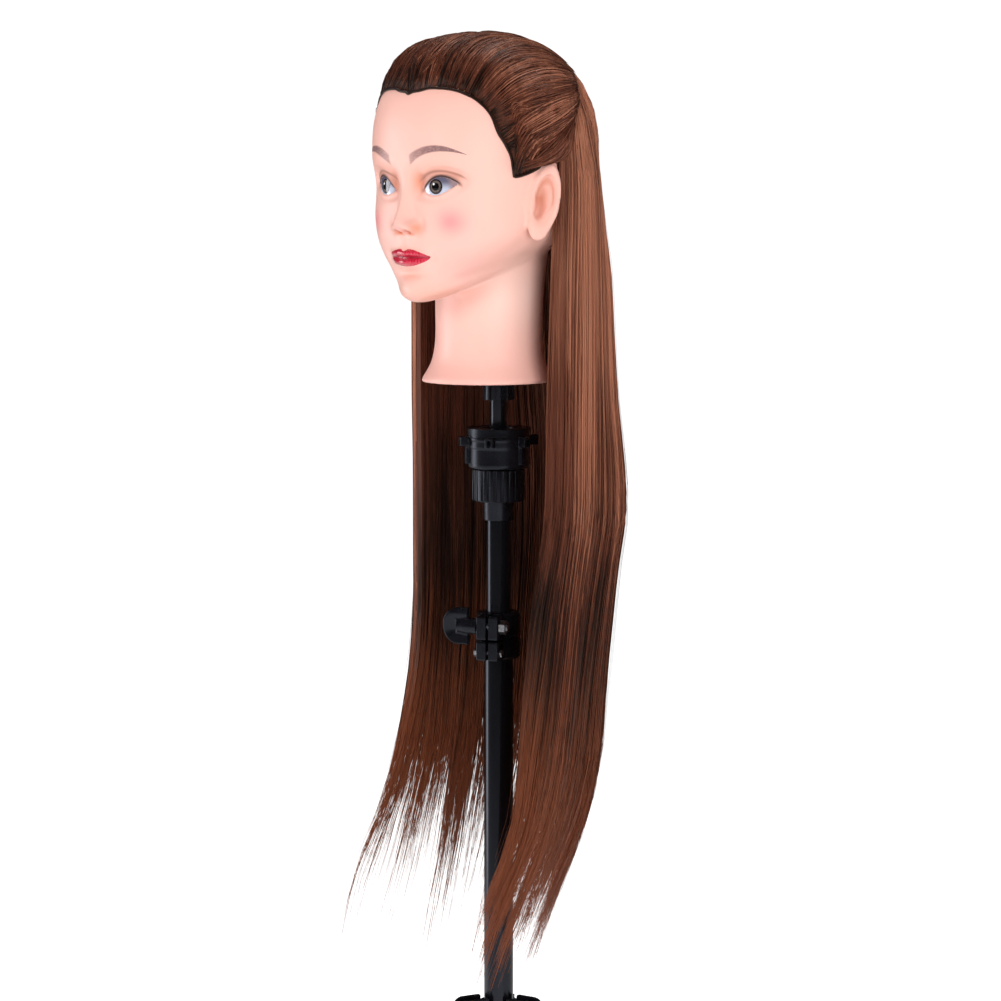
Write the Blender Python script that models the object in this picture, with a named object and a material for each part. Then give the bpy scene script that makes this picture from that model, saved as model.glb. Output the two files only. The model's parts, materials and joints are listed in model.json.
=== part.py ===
"""Mannequin training head with long hair on a folding, height-adjustable tripod stand.

Metres, +Z up.  The origin is the centre of the flat bottom face of the column's end plug, on the floor.
The face looks along -Y and its left side is +X.
"""
import math

import bmesh
import bpy

# ---------------------------------------------------------------- driving dimensions
GAP = 0.0003                      # clearance between a piece and its neighbour
ROUND = 20                        # faces round a large turned piece
MEDIUM = 16                       # faces round a leg fitting
SMALL = 10                        # faces round a pin, screw or hole

OUTER_TUBE_R = 0.0115
OUTER_TUBE_WALL = 0.0010
INNER_TUBE_R = 0.0095
INNER_TUBE_WALL = 0.0012
OUTER_TUBE_BOTTOM = 0.012
OUTER_TUBE_TOP = 0.6497
INNER_TUBE_BOTTOM = 0.300
INNER_TUBE_TOP = 0.7470

COLLAR_BOTTOM = 0.6275
COLLAR_TOP = 0.6640
COLLAR_R = 0.0160
EAR_HEADING = math.radians(-64)   # direction the collar's clamp ears point
EAR_RADIUS = 0.0225               # column axis to the clamp screw's axis
EAR_WIDTH = 0.018
EAR_REACH = 0.0285
WING_Z = 0.6545
COLLAR_SCREW_Z = 0.6340
SCREW_R = 0.0029
SMALL_SCREW_R = 0.0017

ADAPTER_BOTTOM = 0.7360
RING_BOTTOM = 0.7510
RING_TOP = 0.7765
RING_R = 0.0205
RING_FLUTES = 24
SPIGOT_R = 0.0140
CUP_BOTTOM = 0.7770
CUP_TOP = 0.8084
CUP_R = 0.0248
LUG_COUNT = 6
LUG_HEADING = math.radians(-59)   # the first lug
LUG_BOTTOM = 0.7935
LUG_TOP = 0.8020
LUG_REACH = 0.0315
LUG_WIDTH = 0.0068
BALL_Z = 0.7965
BALL_R = 0.0125
POST_R = 0.0064
POST_TOP = 0.8810
PLUG_BOTTOM = 0.8300
PLUG_TOP = 0.8950
PLUG_BOTTOM_R = 0.0125
PLUG_TOP_R = 0.0105
PLUG_FLUTES = 8

NECK_Z = 0.8450                   # flat base of the neck
SOCKET_TOP = 0.9250
SOCKET_R = 0.0152
SHELL_WALL = 0.0040
SCALP_WALL = 0.0020
HAIR_THICKNESS = 0.0105
HAIRLINE_Y = -0.105
HAIRLINE_HEIGHT = 0.221           # above the neck base, at HAIRLINE_Y
HAIRLINE_SLOPE = 0.63             # fall of the hair's lower edge per metre towards the nape
HAIR_HINGE = (0.0, 0.055, 0.950)

# height above the neck base, front y, back y, half-width, y of the widest point
HEAD_LEVELS = (
    (0.000, -0.061, 0.041, 0.0525, -0.008),
    (0.008, -0.057, 0.038, 0.0500, -0.008),
    (0.022, -0.049, 0.037, 0.0465, -0.006),
    (0.045, -0.047, 0.038, 0.0455, -0.006),
    (0.055, -0.058, 0.041, 0.0480, -0.008),
    (0.062, -0.089, 0.043, 0.0520, -0.012),
    (0.078, -0.098, 0.049, 0.0590, -0.016),
    (0.097, -0.101, 0.055, 0.0655, -0.018),
    (0.120, -0.101, 0.061, 0.0705, -0.020),
    (0.150, -0.099, 0.065, 0.0740, -0.020),
    (0.180, -0.103, 0.067, 0.0755, -0.018),
    (0.205, -0.102, 0.066, 0.0750, -0.016),
    (0.226, -0.095, 0.061, 0.0710, -0.014),
    (0.245, -0.077, 0.048, 0.0590, -0.013),
    (0.257, -0.050, 0.027, 0.0380, -0.012),
)
HEAD_TOP = 0.262
HEAD_TOP_Y = -0.012
NOSE_HEIGHT = 0.120
NOSE_REACH = 0.010
EAR_CENTRE = (0.0765, -0.026, 0.139)
EAR_SIZE = (0.0065, 0.0150, 0.0275)

HUB_PIVOT_Z = 0.3465
HUB_PIVOT_R = 0.0270
HUB_BOTTOM = 0.2990
HUB_TOP = 0.3520
HUB_R = 0.0165
HUB_EAR_R = 0.0105
HUB_EAR_INNER = 0.0056
HUB_EAR_OUTER = 0.0096
HUB_KNOB_HEADING = math.radians(192)
HUB_KNOB_Z = 0.3110
PIN_R = 0.0023
PIN_HOLE_R = 0.0026
LEG_HEADINGS = tuple(math.radians(a) for a in (12, 132, 252))
LEG_ANGLE = math.radians(38)      # leg from the vertical when the stand is open
LEG_ANGLE_FOLDED = math.radians(4)
LEG_R = 0.0080
LEG_WALL = 0.0010
LEG_LENGTH = HUB_PIVOT_Z / math.cos(LEG_ANGLE)
FOOT_R = 0.0108
BRACE_ATTACH = 0.225              # pivot to brace along the leg
BRACE_HUB_Z = 0.0460
BRACE_HUB_R = 0.0280
BRACE_WIDTH = 0.0120
BRACE_SIDE = 0.0103               # the strap's inner face beside the leg
BRACE_THICKNESS = 0.0025
RIVET_R = 0.0025
RIVET_HOLE_R = 0.0028


def brace_triangle(leg_angle):
    """Radial and vertical run from the lower hub's pivot to the leg's brace pivot, hub at rest."""
    run = HUB_PIVOT_R + BRACE_ATTACH * math.sin(leg_angle) - BRACE_HUB_R
    rise = HUB_PIVOT_Z - BRACE_ATTACH * math.cos(leg_angle) - BRACE_HUB_Z
    return run, rise


BRACE_LENGTH = math.hypot(*brace_triangle(LEG_ANGLE))
BRACE_ANGLE = math.atan2(*brace_triangle(LEG_ANGLE))


# ---------------------------------------------------------------- helpers
def material(name, colour, roughness, metallic=0.0):
    mat = bpy.data.materials.new(name)
    mat.use_nodes = True
    shader = mat.node_tree.nodes["Principled BSDF"]
    shader.inputs["Base Color"].default_value = (*colour, 1.0)
    shader.inputs["Roughness"].default_value = roughness
    shader.inputs["Metallic"].default_value = metallic
    return mat


def empty(name, location=(0, 0, 0), rotation=(0, 0, 0), parent=None):
    obj = bpy.data.objects.new(name, None)
    bpy.context.collection.objects.link(obj)
    obj.location = location
    obj.rotation_euler = rotation
    obj.parent = parent
    return obj


def add(name, bm, mat, parent=None, location=(0, 0, 0), rotation=(0, 0, 0)):
    """Turn a bmesh into a named object with outward faces."""
    bmesh.ops.remove_doubles(bm, verts=bm.verts, dist=1e-6)
    bmesh.ops.recalc_face_normals(bm, faces=bm.faces)
    if bm.calc_volume(signed=True) < 0:
        bmesh.ops.reverse_faces(bm, faces=bm.faces)
    mesh = bpy.data.meshes.new(name)
    bm.to_mesh(mesh)
    bm.free()
    mesh.shade_smooth()
    mesh.set_sharp_from_angle(angle=math.radians(35))
    if mat is not None:
        mesh.materials.append(mat)
    obj = bpy.data.objects.new(name, mesh)
    bpy.context.collection.objects.link(obj)
    obj.location = location
    obj.rotation_euler = rotation
    obj.parent = parent
    return obj


def boolean(obj, cutter, operation="DIFFERENCE"):
    cutter.hide_render = True
    cutter.display_type = "WIRE"
    modifier = obj.modifiers.new(operation.title(), "BOOLEAN")
    modifier.operation = operation
    modifier.object = cutter
    modifier.solver = "EXACT"
    return obj


def cut(obj, bm, location=(0, 0, 0), rotation=(0, 0, 0)):
    """Cut a shape, given in the object's own frame, out of the object."""
    cutter = add(obj.name + "_cutter", bm, None, obj, location, rotation)
    return boolean(obj, cutter)


def weld(obj, bm, location=(0, 0, 0), rotation=(0, 0, 0)):
    """Unite the object with a shape given in the object's own frame."""
    extra = add(obj.name + "_boss", bm, None, obj, location, rotation)
    return boolean(obj, extra, "UNION")


def ring_points(radius, z, segments, flutes=0, depth=0.0):
    """Points round the Z axis; flutes vary the radius round it."""
    points = []
    for i in range(segments):
        angle = 2 * math.pi * i / segments
        r = radius
        if flutes:
            r -= depth * (0.5 - 0.5 * math.cos(flutes * angle))
        points.append((r * math.cos(angle), r * math.sin(angle), z))
    return points


def skin(bm, rings, closed=False):
    """Join successive rings of vertices with faces; a ring of one vertex is a pole."""
    pairs = list(zip(rings, rings[1:]))
    if closed:
        pairs.append((rings[-1], rings[0]))
    for low, high in pairs:
        count = max(len(low), len(high))
        for i in range(count):
            j = (i + 1) % count
            corners = [low[i % len(low)], low[j % len(low)], high[j % len(high)], high[i % len(high)]]
            unique = list(dict.fromkeys(corners))
            if len(unique) > 2:
                bm.faces.new(unique)


def lathe(profile, segments=ROUND, flutes=0, depth=0.0):
    """Closed solid of revolution round Z from a closed (radius, z) outline."""
    bm = bmesh.new()
    rings = []
    for radius, z in profile:
        if radius < 1e-9:
            rings.append([bm.verts.new((0, 0, z))])
        else:
            points = ring_points(radius, z, segments, flutes, depth)
            rings.append([bm.verts.new(p) for p in points])
    on_axis = len(rings[0]) == 1 and len(rings[-1]) == 1
    skin(bm, rings, closed=not on_axis)
    return bm


def cylinder(radius, z0, z1, segments=MEDIUM):
    return lathe([(0, z0), (radius, z0), (radius, z1), (0, z1)], segments)


def tube(outer, inner, z0, z1, segments=ROUND):
    return lathe([(outer, z0), (outer, z1), (inner, z1), (inner, z0)], segments)


def box(low, high):
    bm = bmesh.new()
    corners = [(x, y) for x, y in ((low[0], low[1]), (high[0], low[1]), (high[0], high[1]), (low[0], high[1]))]
    rings = [[bm.verts.new((x, y, z)) for x, y in corners] for z in (low[2], high[2])]
    skin(bm, rings)
    bm.faces.new(rings[0])
    bm.faces.new(rings[1])
    return bm


def plate(bm, outline, y0, y1):
    """Add a plate to a bmesh: an (x, z) outline extruded from y0 to y1."""
    rings = [[bm.verts.new((x, y, z)) for x, z in outline] for y in (y0, y1)]
    skin(bm, rings)
    bm.faces.new(rings[0])
    bm.faces.new(rings[1])


def arc(centre, radius, start, stop, steps):
    points = []
    for i in range(steps + 1):
        angle = start + (stop - start) * i / steps
        points.append((centre[0] + radius * math.cos(angle), centre[1] + radius * math.sin(angle)))
    return points


def turned(bm, heading, offset=(0, 0, 0)):
    """Turn a bmesh about Z by a heading, after moving it."""
    bmesh.ops.translate(bm, verts=bm.verts, vec=offset)
    c, s = math.cos(heading), math.sin(heading)
    for v in bm.verts:
        x, y = v.co.x, v.co.y
        v.co.x, v.co.y = c * x - s * y, s * x + c * y
    return bm


def merged(parts):
    """One bmesh holding several."""
    whole = bmesh.new()
    for part in parts:
        mesh = bpy.data.meshes.new("part")
        part.to_mesh(mesh)
        whole.from_mesh(mesh)
        part.free()
        bpy.data.meshes.remove(mesh)
    return whole


def polar(radius, heading, z):
    return (radius * math.cos(heading), radius * math.sin(heading), z)


# ---------------------------------------------------------------- head
def head_ring(level, offset):
    height, front, back, half, middle = level
    points = []
    segments = ROUND
    for i in range(segments):
        angle = 2 * math.pi * i / segments
        x = (half + offset) * math.cos(angle)
        reach = (back - middle) if math.sin(angle) > 0 else (middle - front)
        y = middle + (reach + offset) * math.sin(angle)
        near_nose = max(0.0, 1 - abs(height - NOSE_HEIGHT) / 0.03) * max(0.0, 1 - abs(x) / 0.012)
        if y < 0 and offset < 0.001:
            y -= NOSE_REACH * near_nose
        points.append((x, y, height))
    return points


def head_loft(offset, first=0, bottom=None):
    """Closed head shape grown by an offset, from a level of the table up to the crown."""
    bm = bmesh.new()
    rings = []
    for index, level in enumerate(HEAD_LEVELS[first:]):
        points = head_ring(level, offset)
        if index == 0 and bottom is not None:
            points = [(x, y, bottom) for x, y, z in points]
        elif level[0] > 0.2:
            lift = offset * (level[0] - 0.2) / (HEAD_TOP - 0.2)
            points = [(x, y, z + lift) for x, y, z in points]
        rings.append([bm.verts.new(p) for p in points])
    rings.append([bm.verts.new((0, HEAD_TOP_Y, HEAD_TOP + offset))])
    skin(bm, rings)
    bm.faces.new(rings[0])
    return bm


def ear_shape():
    bm = bmesh.new()
    bmesh.ops.create_uvsphere(bm, u_segments=8, v_segments=6, radius=1.0)
    bmesh.ops.scale(bm, verts=bm.verts, vec=EAR_SIZE)
    return bm


def below_hairline():
    """A block whose top face is the sloping lower edge of the hair."""
    far = 0.3
    bm = bmesh.new()
    corners = []
    for y in (-far, far):
        top = HAIRLINE_HEIGHT - HAIRLINE_SLOPE * (y - HAIRLINE_Y)
        corners.append([(y, -0.2), (y, top)])
    outline = [corners[0][0], corners[1][0], corners[1][1], corners[0][1]]
    rings = [[bm.verts.new((x, y, z)) for y, z in outline] for x in (-far, far)]
    skin(bm, rings)
    bm.faces.new(rings[0])
    bm.faces.new(rings[1])
    return bm


def scalp_layer(name, inner, outer, mat, parent):
    """A shell over the scalp between two offsets, ending at the hairline."""
    shell = add(name, head_loft(outer, 4), mat, parent)
    cut(shell, head_loft(inner, 4, bottom=0.050))
    cut(shell, below_hairline())
    return shell


def make_head(parent, vinyl, scalp, socket_plastic, hair):
    head = empty("head", (0, 0, NECK_Z), parent=parent)
    shell = add("head_shell", head_loft(0.0), vinyl, head)
    for side in (1, -1):
        lean = math.radians(12)
        centre = (side * EAR_CENTRE[0], EAR_CENTRE[1], EAR_CENTRE[2])
        weld(shell, ear_shape(), centre, (-lean, 0, side * math.radians(-18)))
    hollow = head_loft(-SHELL_WALL, 0, bottom=0.005)
    cut(shell, hollow)
    cut(shell, cylinder(SOCKET_R + GAP, -0.01, 0.02))
    flange = 0.0220
    base = NECK_Z
    profile = [(0.0129, 0), (SOCKET_R, 0), (SOCKET_R, 0.0053), (flange, 0.0053), (flange, 0.0083),
               (SOCKET_R, 0.0083), (SOCKET_R - 0.0015, SOCKET_TOP - base), (0.0113, SOCKET_TOP - base)]
    add("neck_socket", lathe(profile), socket_plastic, head)
    scalp_layer("scalp_cap", GAP, GAP + SCALP_WALL, scalp, head)
    scalp_layer("hair_top", 2 * GAP + SCALP_WALL, HAIR_THICKNESS, hair, head)
    return head


# heading of the panel's face, then rows of (z, centre x, centre y, half-width, thickness)
HAIR_PANELS = {
    "hair_fall_left": (0, ((0.934, 0.0815, -0.001, 0.028, 0.011), (0.720, 0.082, -0.008, 0.034, 0.013),
                           (0.560, 0.076, -0.026, 0.034, 0.012), (0.380, 0.060, -0.058, 0.020, 0.008))),
    "hair_fall_back_left": (45, ((0.925, 0.0575, 0.0570, 0.027, 0.011), (0.720, 0.065, 0.065, 0.030, 0.014),
                                 (0.560, 0.063, 0.062, 0.028, 0.013), (0.400, 0.057, 0.051, 0.018, 0.008))),
    "hair_fall_back": (90, ((0.915, 0.0, 0.0820, 0.028, 0.011), (0.720, 0.0, 0.094, 0.031, 0.014),
                            (0.560, 0.0, 0.093, 0.030, 0.013), (0.400, -0.006, 0.087, 0.022, 0.008))),
    "hair_fall_back_right": (135, ((0.925, -0.0575, 0.0570, 0.027, 0.011), (0.720, -0.065, 0.065, 0.030, 0.014),
                                   (0.560, -0.064, 0.062, 0.028, 0.013), (0.430, -0.062, 0.052, 0.018, 0.008))),
    "hair_fall_right": (180, ((0.934, -0.0815, -0.001, 0.028, 0.011), (0.720, -0.082, -0.004, 0.032, 0.013),
                              (0.560, -0.082, -0.016, 0.030, 0.012), (0.440, -0.090, -0.042, 0.020, 0.008))),
}


def hair_panel(name, heading, rows, mat, parent):
    """A tapering plank of hair, given in world places and stored about the hair's hinge."""
    out = (math.cos(heading), math.sin(heading))
    along = (-out[1], out[0])
    bm = bmesh.new()
    rings = []
    for z, cx, cy, half, thick in rows:
        ring = []
        for a, b in ((-1, -1), (1, -1), (1, 1), (-1, 1)):
            x = cx + a * half * along[0] + b * thick / 2 * out[0]
            y = cy + a * half * along[1] + b * thick / 2 * out[1]
            ring.append(bm.verts.new((x - HAIR_HINGE[0], y - HAIR_HINGE[1], z - HAIR_HINGE[2])))
        rings.append(ring)
    skin(bm, rings)
    bm.faces.new(rings[0])
    bm.faces.new(rings[-1])
    return add(name, bm, mat, parent)


def make_hair_fall(head, hair):
    hinge = (HAIR_HINGE[0], HAIR_HINGE[1], HAIR_HINGE[2] - NECK_Z)
    fall = empty("hair_fall", hinge, parent=head)
    for name, (heading, rows) in HAIR_PANELS.items():
        hair_panel(name, math.radians(heading), rows, hair, fall)


# ---------------------------------------------------------------- swivel clamp
def make_post(parent, steel, black, painted):
    """Plug, post and ball, stored about the ball's centre."""
    post = empty("post", (0, 0, BALL_Z), parent=parent)
    z = lambda height: height - BALL_Z
    bore_r = POST_R + GAP
    neck_r = 0.0030
    plug = add("post_plug", lathe([(0, z(PLUG_BOTTOM)), (PLUG_BOTTOM_R, z(PLUG_BOTTOM)),
                                   (PLUG_TOP_R, z(PLUG_TOP)), (0, z(PLUG_TOP))], PLUG_FLUTES * 4, PLUG_FLUTES, 0.0012),
               black, post)
    cut(plug, cylinder(bore_r, z(PLUG_BOTTOM) - 0.01, z(POST_TOP) + GAP))
    cut(plug, cylinder(neck_r, z(POST_TOP) - 0.005, z(PLUG_TOP) + 0.01, SMALL))
    screw_r = 0.0024
    screw_bottom = POST_TOP - 0.014
    spigot_r = 0.0040
    spigot_bottom = BALL_Z - 0.002
    shoulder = BALL_Z + 0.0099
    add("swivel_post", lathe([(0, z(spigot_bottom)), (spigot_r, z(spigot_bottom)), (spigot_r, z(shoulder)),
                              (POST_R, z(shoulder)), (POST_R, z(POST_TOP)), (screw_r + GAP, z(POST_TOP)),
                              (screw_r + GAP, z(screw_bottom) - GAP), (0, z(screw_bottom) - GAP)], MEDIUM),
        painted, post)
    head_bottom = PLUG_TOP + GAP
    add("plug_screw", lathe([(0, z(screw_bottom)), (screw_r, z(screw_bottom)), (screw_r, z(head_bottom)),
                             (0.0050, z(head_bottom)), (0.0050, z(head_bottom) + 0.0025),
                             (0.0040, z(head_bottom) + 0.0035), (0, z(head_bottom) + 0.0035)], SMALL), steel, post)
    flat = 0.0096
    start = math.asin(flat / BALL_R)
    bottom = -math.pi / 2
    outline = [(r, height) for r, height in arc((0, 0), BALL_R, start, bottom, 7)]
    outline[-1] = (0, -BALL_R)
    hole = spigot_r + GAP
    bore_end = z(spigot_bottom) - GAP
    ball_profile = [(0, bore_end), (hole, bore_end), (hole, flat)] + outline
    add("swivel_ball", lathe(ball_profile), steel, post)
    return post


def make_cup(parent, black, nylon):
    cup_axis = empty("cup", (0, 0, CUP_BOTTOM), parent=parent)
    z = lambda height: height - CUP_BOTTOM
    wall = 0.0034
    floor = 0.0030
    lip_z = BALL_Z + 0.0070
    lip_r = 0.0109
    mouth_r = 0.0130
    band = 0.0010
    profile = [(SPIGOT_R + GAP, 0), (CUP_R - 2 * band, 0), (CUP_R - band, band), (CUP_R - band, z(LUG_BOTTOM)),
               (CUP_R, z(LUG_BOTTOM) + band), (CUP_R, z(CUP_TOP) - 0.0025), (CUP_R - 0.0025, z(CUP_TOP)),
               (mouth_r, z(CUP_TOP)), (lip_r, z(lip_z)), (CUP_R - wall, z(lip_z)), (CUP_R - wall, floor),
               (SPIGOT_R + GAP, floor)]
    cup = add("swivel_cup", lathe(profile, 24), black, cup_axis)
    lugs = []
    for i in range(LUG_COUNT):
        lug = box((CUP_R - 0.0018, -LUG_WIDTH / 2, z(LUG_BOTTOM) + 0.0008), (LUG_REACH, LUG_WIDTH / 2, z(LUG_TOP)))
        lugs.append(turned(lug, LUG_HEADING + 2 * math.pi * i / LUG_COUNT))
    weld(cup, merged(lugs))
    seat_bottom = 0.7834
    seat_r = CUP_R - wall - GAP
    hollow_r = BALL_R + 2 * GAP
    hole_r = 0.0045
    hole_angle = -math.acos(hole_r / hollow_r)
    rim_angle = math.asin((lip_z - 0.0040 - BALL_Z) / hollow_r)
    bowl = [(r, height + z(BALL_Z)) for r, height in arc((0, 0), hollow_r, rim_angle, hole_angle, 6)]
    rim_z = bowl[0][1]
    seat = [(hole_r, z(seat_bottom)), (seat_r, z(seat_bottom)), (seat_r, rim_z)] + bowl
    add("ball_seat", lathe(seat), nylon, cup_axis)
    return cup_axis


def make_lock_ring(parent, black):
    axis = empty("lock_ring_axis", (0, 0, RING_BOTTOM), parent=parent)
    height = RING_TOP - RING_BOTTOM
    inner = SPIGOT_R + 2 * GAP
    profile = [(0, 0), (RING_R, 0), (RING_R, height), (0, height)]
    ring = add("lock_ring", lathe(profile, RING_FLUTES * 2, RING_FLUTES, 0.0012), black, axis)
    cut(ring, cylinder(inner, -0.01, height + 0.01, ROUND))


# ---------------------------------------------------------------- column
def make_inner_column(parent, black, painted, nylon):
    inner = empty("inner_column", (0, 0, ADAPTER_BOTTOM), parent=parent)
    z = lambda height: height - ADAPTER_BOTTOM
    bore = INNER_TUBE_R + GAP
    sleeve_r = 0.0120
    flange_r = 0.0185
    floor_top = CUP_BOTTOM + 0.0030 + GAP
    adapter = [(bore, 0), (sleeve_r, 0), (sleeve_r, z(RING_BOTTOM) - GAP), (SPIGOT_R, z(RING_BOTTOM) - GAP),
               (SPIGOT_R, z(floor_top)), (flange_r, z(floor_top)), (flange_r, z(floor_top) + 0.0026),
               (0.0060, z(floor_top) + 0.0026), (0.0060, z(INNER_TUBE_TOP) + GAP), (bore, z(INNER_TUBE_TOP) + GAP)]
    add("tube_adapter", lathe(adapter), black, inner)
    wall_r = INNER_TUBE_R - INNER_TUBE_WALL
    add("inner_tube", tube(INNER_TUBE_R, wall_r, z(INNER_TUBE_BOTTOM), z(INNER_TUBE_TOP)), painted, inner)
    bush_r = OUTER_TUBE_R - OUTER_TUBE_WALL - GAP
    top = z(INNER_TUBE_BOTTOM) - GAP
    bush = [(0, top - 0.012), (bush_r, top - 0.012), (bush_r, top), (wall_r - GAP, top),
            (wall_r - GAP, top + 0.015), (0, top + 0.015)]
    add("inner_tube_bush", lathe(bush), nylon, inner)
    return inner


def make_collar(parent, black):
    """Split collar that grips both tubes, with two pairs of clamp ears."""
    height = COLLAR_TOP - COLLAR_BOTTOM
    step = OUTER_TUBE_TOP + GAP - COLLAR_BOTTOM
    lower = OUTER_TUBE_R + GAP
    upper = INNER_TUBE_R + GAP
    profile = [(lower, 0), (COLLAR_R, 0), (COLLAR_R, height), (upper, height), (upper, step), (lower, step)]
    collar = add("tube_collar", lathe(profile), black, parent, (0, 0, COLLAR_BOTTOM), (0, 0, EAR_HEADING))
    half = EAR_WIDTH / 2
    weld(collar, box((0.0125, -half, 0.0010), (EAR_REACH, half, height - 0.0010)))
    cut(collar, box((0.002, -0.0011, -0.01), (0.05, 0.0011, height + 0.01)))
    middle = 0.0165
    cut(collar, box((0.0130, -0.02, middle - 0.0006), (0.05, 0.02, middle + 0.0006)))
    sideways = (math.radians(90), 0, 0)
    cut(collar, cylinder(SCREW_R + GAP, -0.03, 0.03, SMALL), (EAR_RADIUS, 0, WING_Z - COLLAR_BOTTOM), sideways)
    cut(collar, cylinder(SMALL_SCREW_R + GAP, -0.03, 0.03, SMALL),
        (EAR_RADIUS, 0, COLLAR_SCREW_Z - COLLAR_BOTTOM), sideways)
    return collar


def hexagon_nut(radius, bore, z0, z1):
    return tube(radius, bore / math.cos(math.radians(30)), z0, z1, 6)


def wing_shape(half_span, root, tip, thickness):
    """D-shaped grip: a straight inner edge and a rounded outer one, as an (x, z) outline."""
    belly = root + 0.0060
    outline = [(-0.88 * half_span, root), (0.88 * half_span, root)]
    for i in range(9):
        angle = math.pi * i / 8
        outline.append((half_span * math.cos(angle), belly + (tip - belly) * math.sin(angle) ** 0.7))
    bm = bmesh.new()
    plate(bm, outline, -thickness / 2, thickness / 2)
    return bm


def make_collar_hardware(column, black, steel):
    knob_way = EAR_HEADING - math.radians(90)
    place = polar(EAR_RADIUS, EAR_HEADING, WING_Z)
    facing = (0, math.radians(90), knob_way)
    half = EAR_WIDTH / 2
    add("clamp_nut", hexagon_nut(0.0055, SCREW_R + GAP, -half - 0.0050, -half - GAP), steel, column, place, facing)
    axis = empty("wing_knob_axis", place, facing, column)
    bore_end = half + 0.0080
    add("wing_screw", cylinder(SCREW_R, -half - 0.0065, bore_end, SMALL), steel, axis)
    boss = 0.0065
    knob = add("wing_knob", lathe([(0, half + GAP), (boss, half + GAP), (boss, half + 0.0125),
                                   (0.0045, half + 0.0145), (0, half + 0.0145)], MEDIUM), black, axis)
    weld(knob, wing_shape(0.0145, half + 0.0085, half + 0.0290, 0.0042))
    cut(knob, cylinder(SCREW_R + GAP, 0, bore_end + GAP, SMALL))
    low = polar(EAR_RADIUS, EAR_HEADING, COLLAR_SCREW_Z)
    r = SMALL_SCREW_R
    add("collar_screw", lathe([(0, -half - 0.0018), (0.0030, -half - 0.0018), (0.0030, -half - GAP),
                               (r, -half - GAP), (r, half + 0.0034), (0, half + 0.0034)], SMALL),
        steel, column, low, facing)
    add("collar_screw_nut", hexagon_nut(0.0034, r + GAP, half + GAP, half + 0.0027), steel, column, low, facing)


def ear_outline(inner_r, pivot_r, radius):
    """Plate from the sleeve out to a round end, as (x, z) about the pivot's height."""
    return [(inner_r, radius), (inner_r, -radius)] + arc((pivot_r, 0), radius, -math.pi / 2, math.pi / 2, 6)


def make_leg_hub(column, black, steel):
    hub = empty("leg_hub_slide", (0, 0, HUB_PIVOT_Z), parent=column)
    z = lambda height: height - HUB_PIVOT_Z
    body = add("leg_hub", tube(HUB_R, OUTER_TUBE_R + GAP, z(HUB_BOTTOM), z(HUB_TOP)), black, hub)
    ears, holes = [], []
    for heading in LEG_HEADINGS:
        for side in (1, -1):
            low, high = sorted((side * HUB_EAR_INNER, side * HUB_EAR_OUTER))
            ear = bmesh.new()
            plate(ear, ear_outline(0.0140, HUB_PIVOT_R, HUB_EAR_R), low, high)
            ears.append(turned(ear, heading))
        hole = cylinder(PIN_HOLE_R, -0.013, 0.013, SMALL)
        for v in hole.verts:
            v.co.y, v.co.z = -v.co.z, v.co.y
        holes.append(turned(hole, heading, (HUB_PIVOT_R, 0, 0)))
    weld(body, merged(ears))
    boss = box((0.0140, -0.0065, z(HUB_KNOB_Z) - 0.0065), (0.0195, 0.0065, z(HUB_KNOB_Z) + 0.0065))
    weld(body, turned(boss, HUB_KNOB_HEADING))
    cut(body, merged(holes))
    outward = (0, math.radians(90), HUB_KNOB_HEADING)
    knob_place = polar(0, HUB_KNOB_HEADING, z(HUB_KNOB_Z))
    hole_r = 0.0030 + GAP
    cut(body, cylinder(hole_r, 0.008, 0.03, SMALL), knob_place, outward)
    axis = empty("hub_knob_axis", knob_place, outward, hub)
    add("hub_knob_screw", cylinder(0.0030, OUTER_TUBE_R + 2 * GAP, 0.0275, SMALL), steel, axis)
    knob = [(0, 0.0200), (0.0060, 0.0200), (0.0060, 0.0225), (0.0115, 0.0235), (0.0115, 0.0335), (0.0095, 0.0355),
            (0, 0.0355)]
    grip = add("hub_knob", lathe(knob, 24, 6, 0.0018), black, axis)
    cut(grip, cylinder(hole_r, 0.010, 0.0275 + GAP, SMALL))
    return hub


def pin_shape(radius, head_r, y0, y1, head):
    """Headed pin along Y: heads of a given length beyond y0 and y1."""
    bm = lathe([(0, y0 - head), (head_r, y0 - head), (head_r, y0), (radius, y0), (radius, y1), (head_r, y1),
                (head_r, y1 + head), (0, y1 + head)], SMALL)
    for v in bm.verts:
        v.co.y, v.co.z = v.co.z, -v.co.y
    return bm


def foot_shape():
    """Rubber cap over the leg's end, before the floor trims it."""
    end = -(LEG_LENGTH - 0.022)
    bore = LEG_R + GAP
    return lathe([(bore, -(LEG_LENGTH - 0.052)), (bore, end - GAP), (0, end - GAP), (0, -(LEG_LENGTH + 0.012)),
                  (FOOT_R, -(LEG_LENGTH + 0.012)), (FOOT_R, -(LEG_LENGTH - 0.020)),
                  (FOOT_R - 0.0014, -(LEG_LENGTH - 0.046)), (FOOT_R - 0.0018, -(LEG_LENGTH - 0.052))][::-1], MEDIUM)


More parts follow.
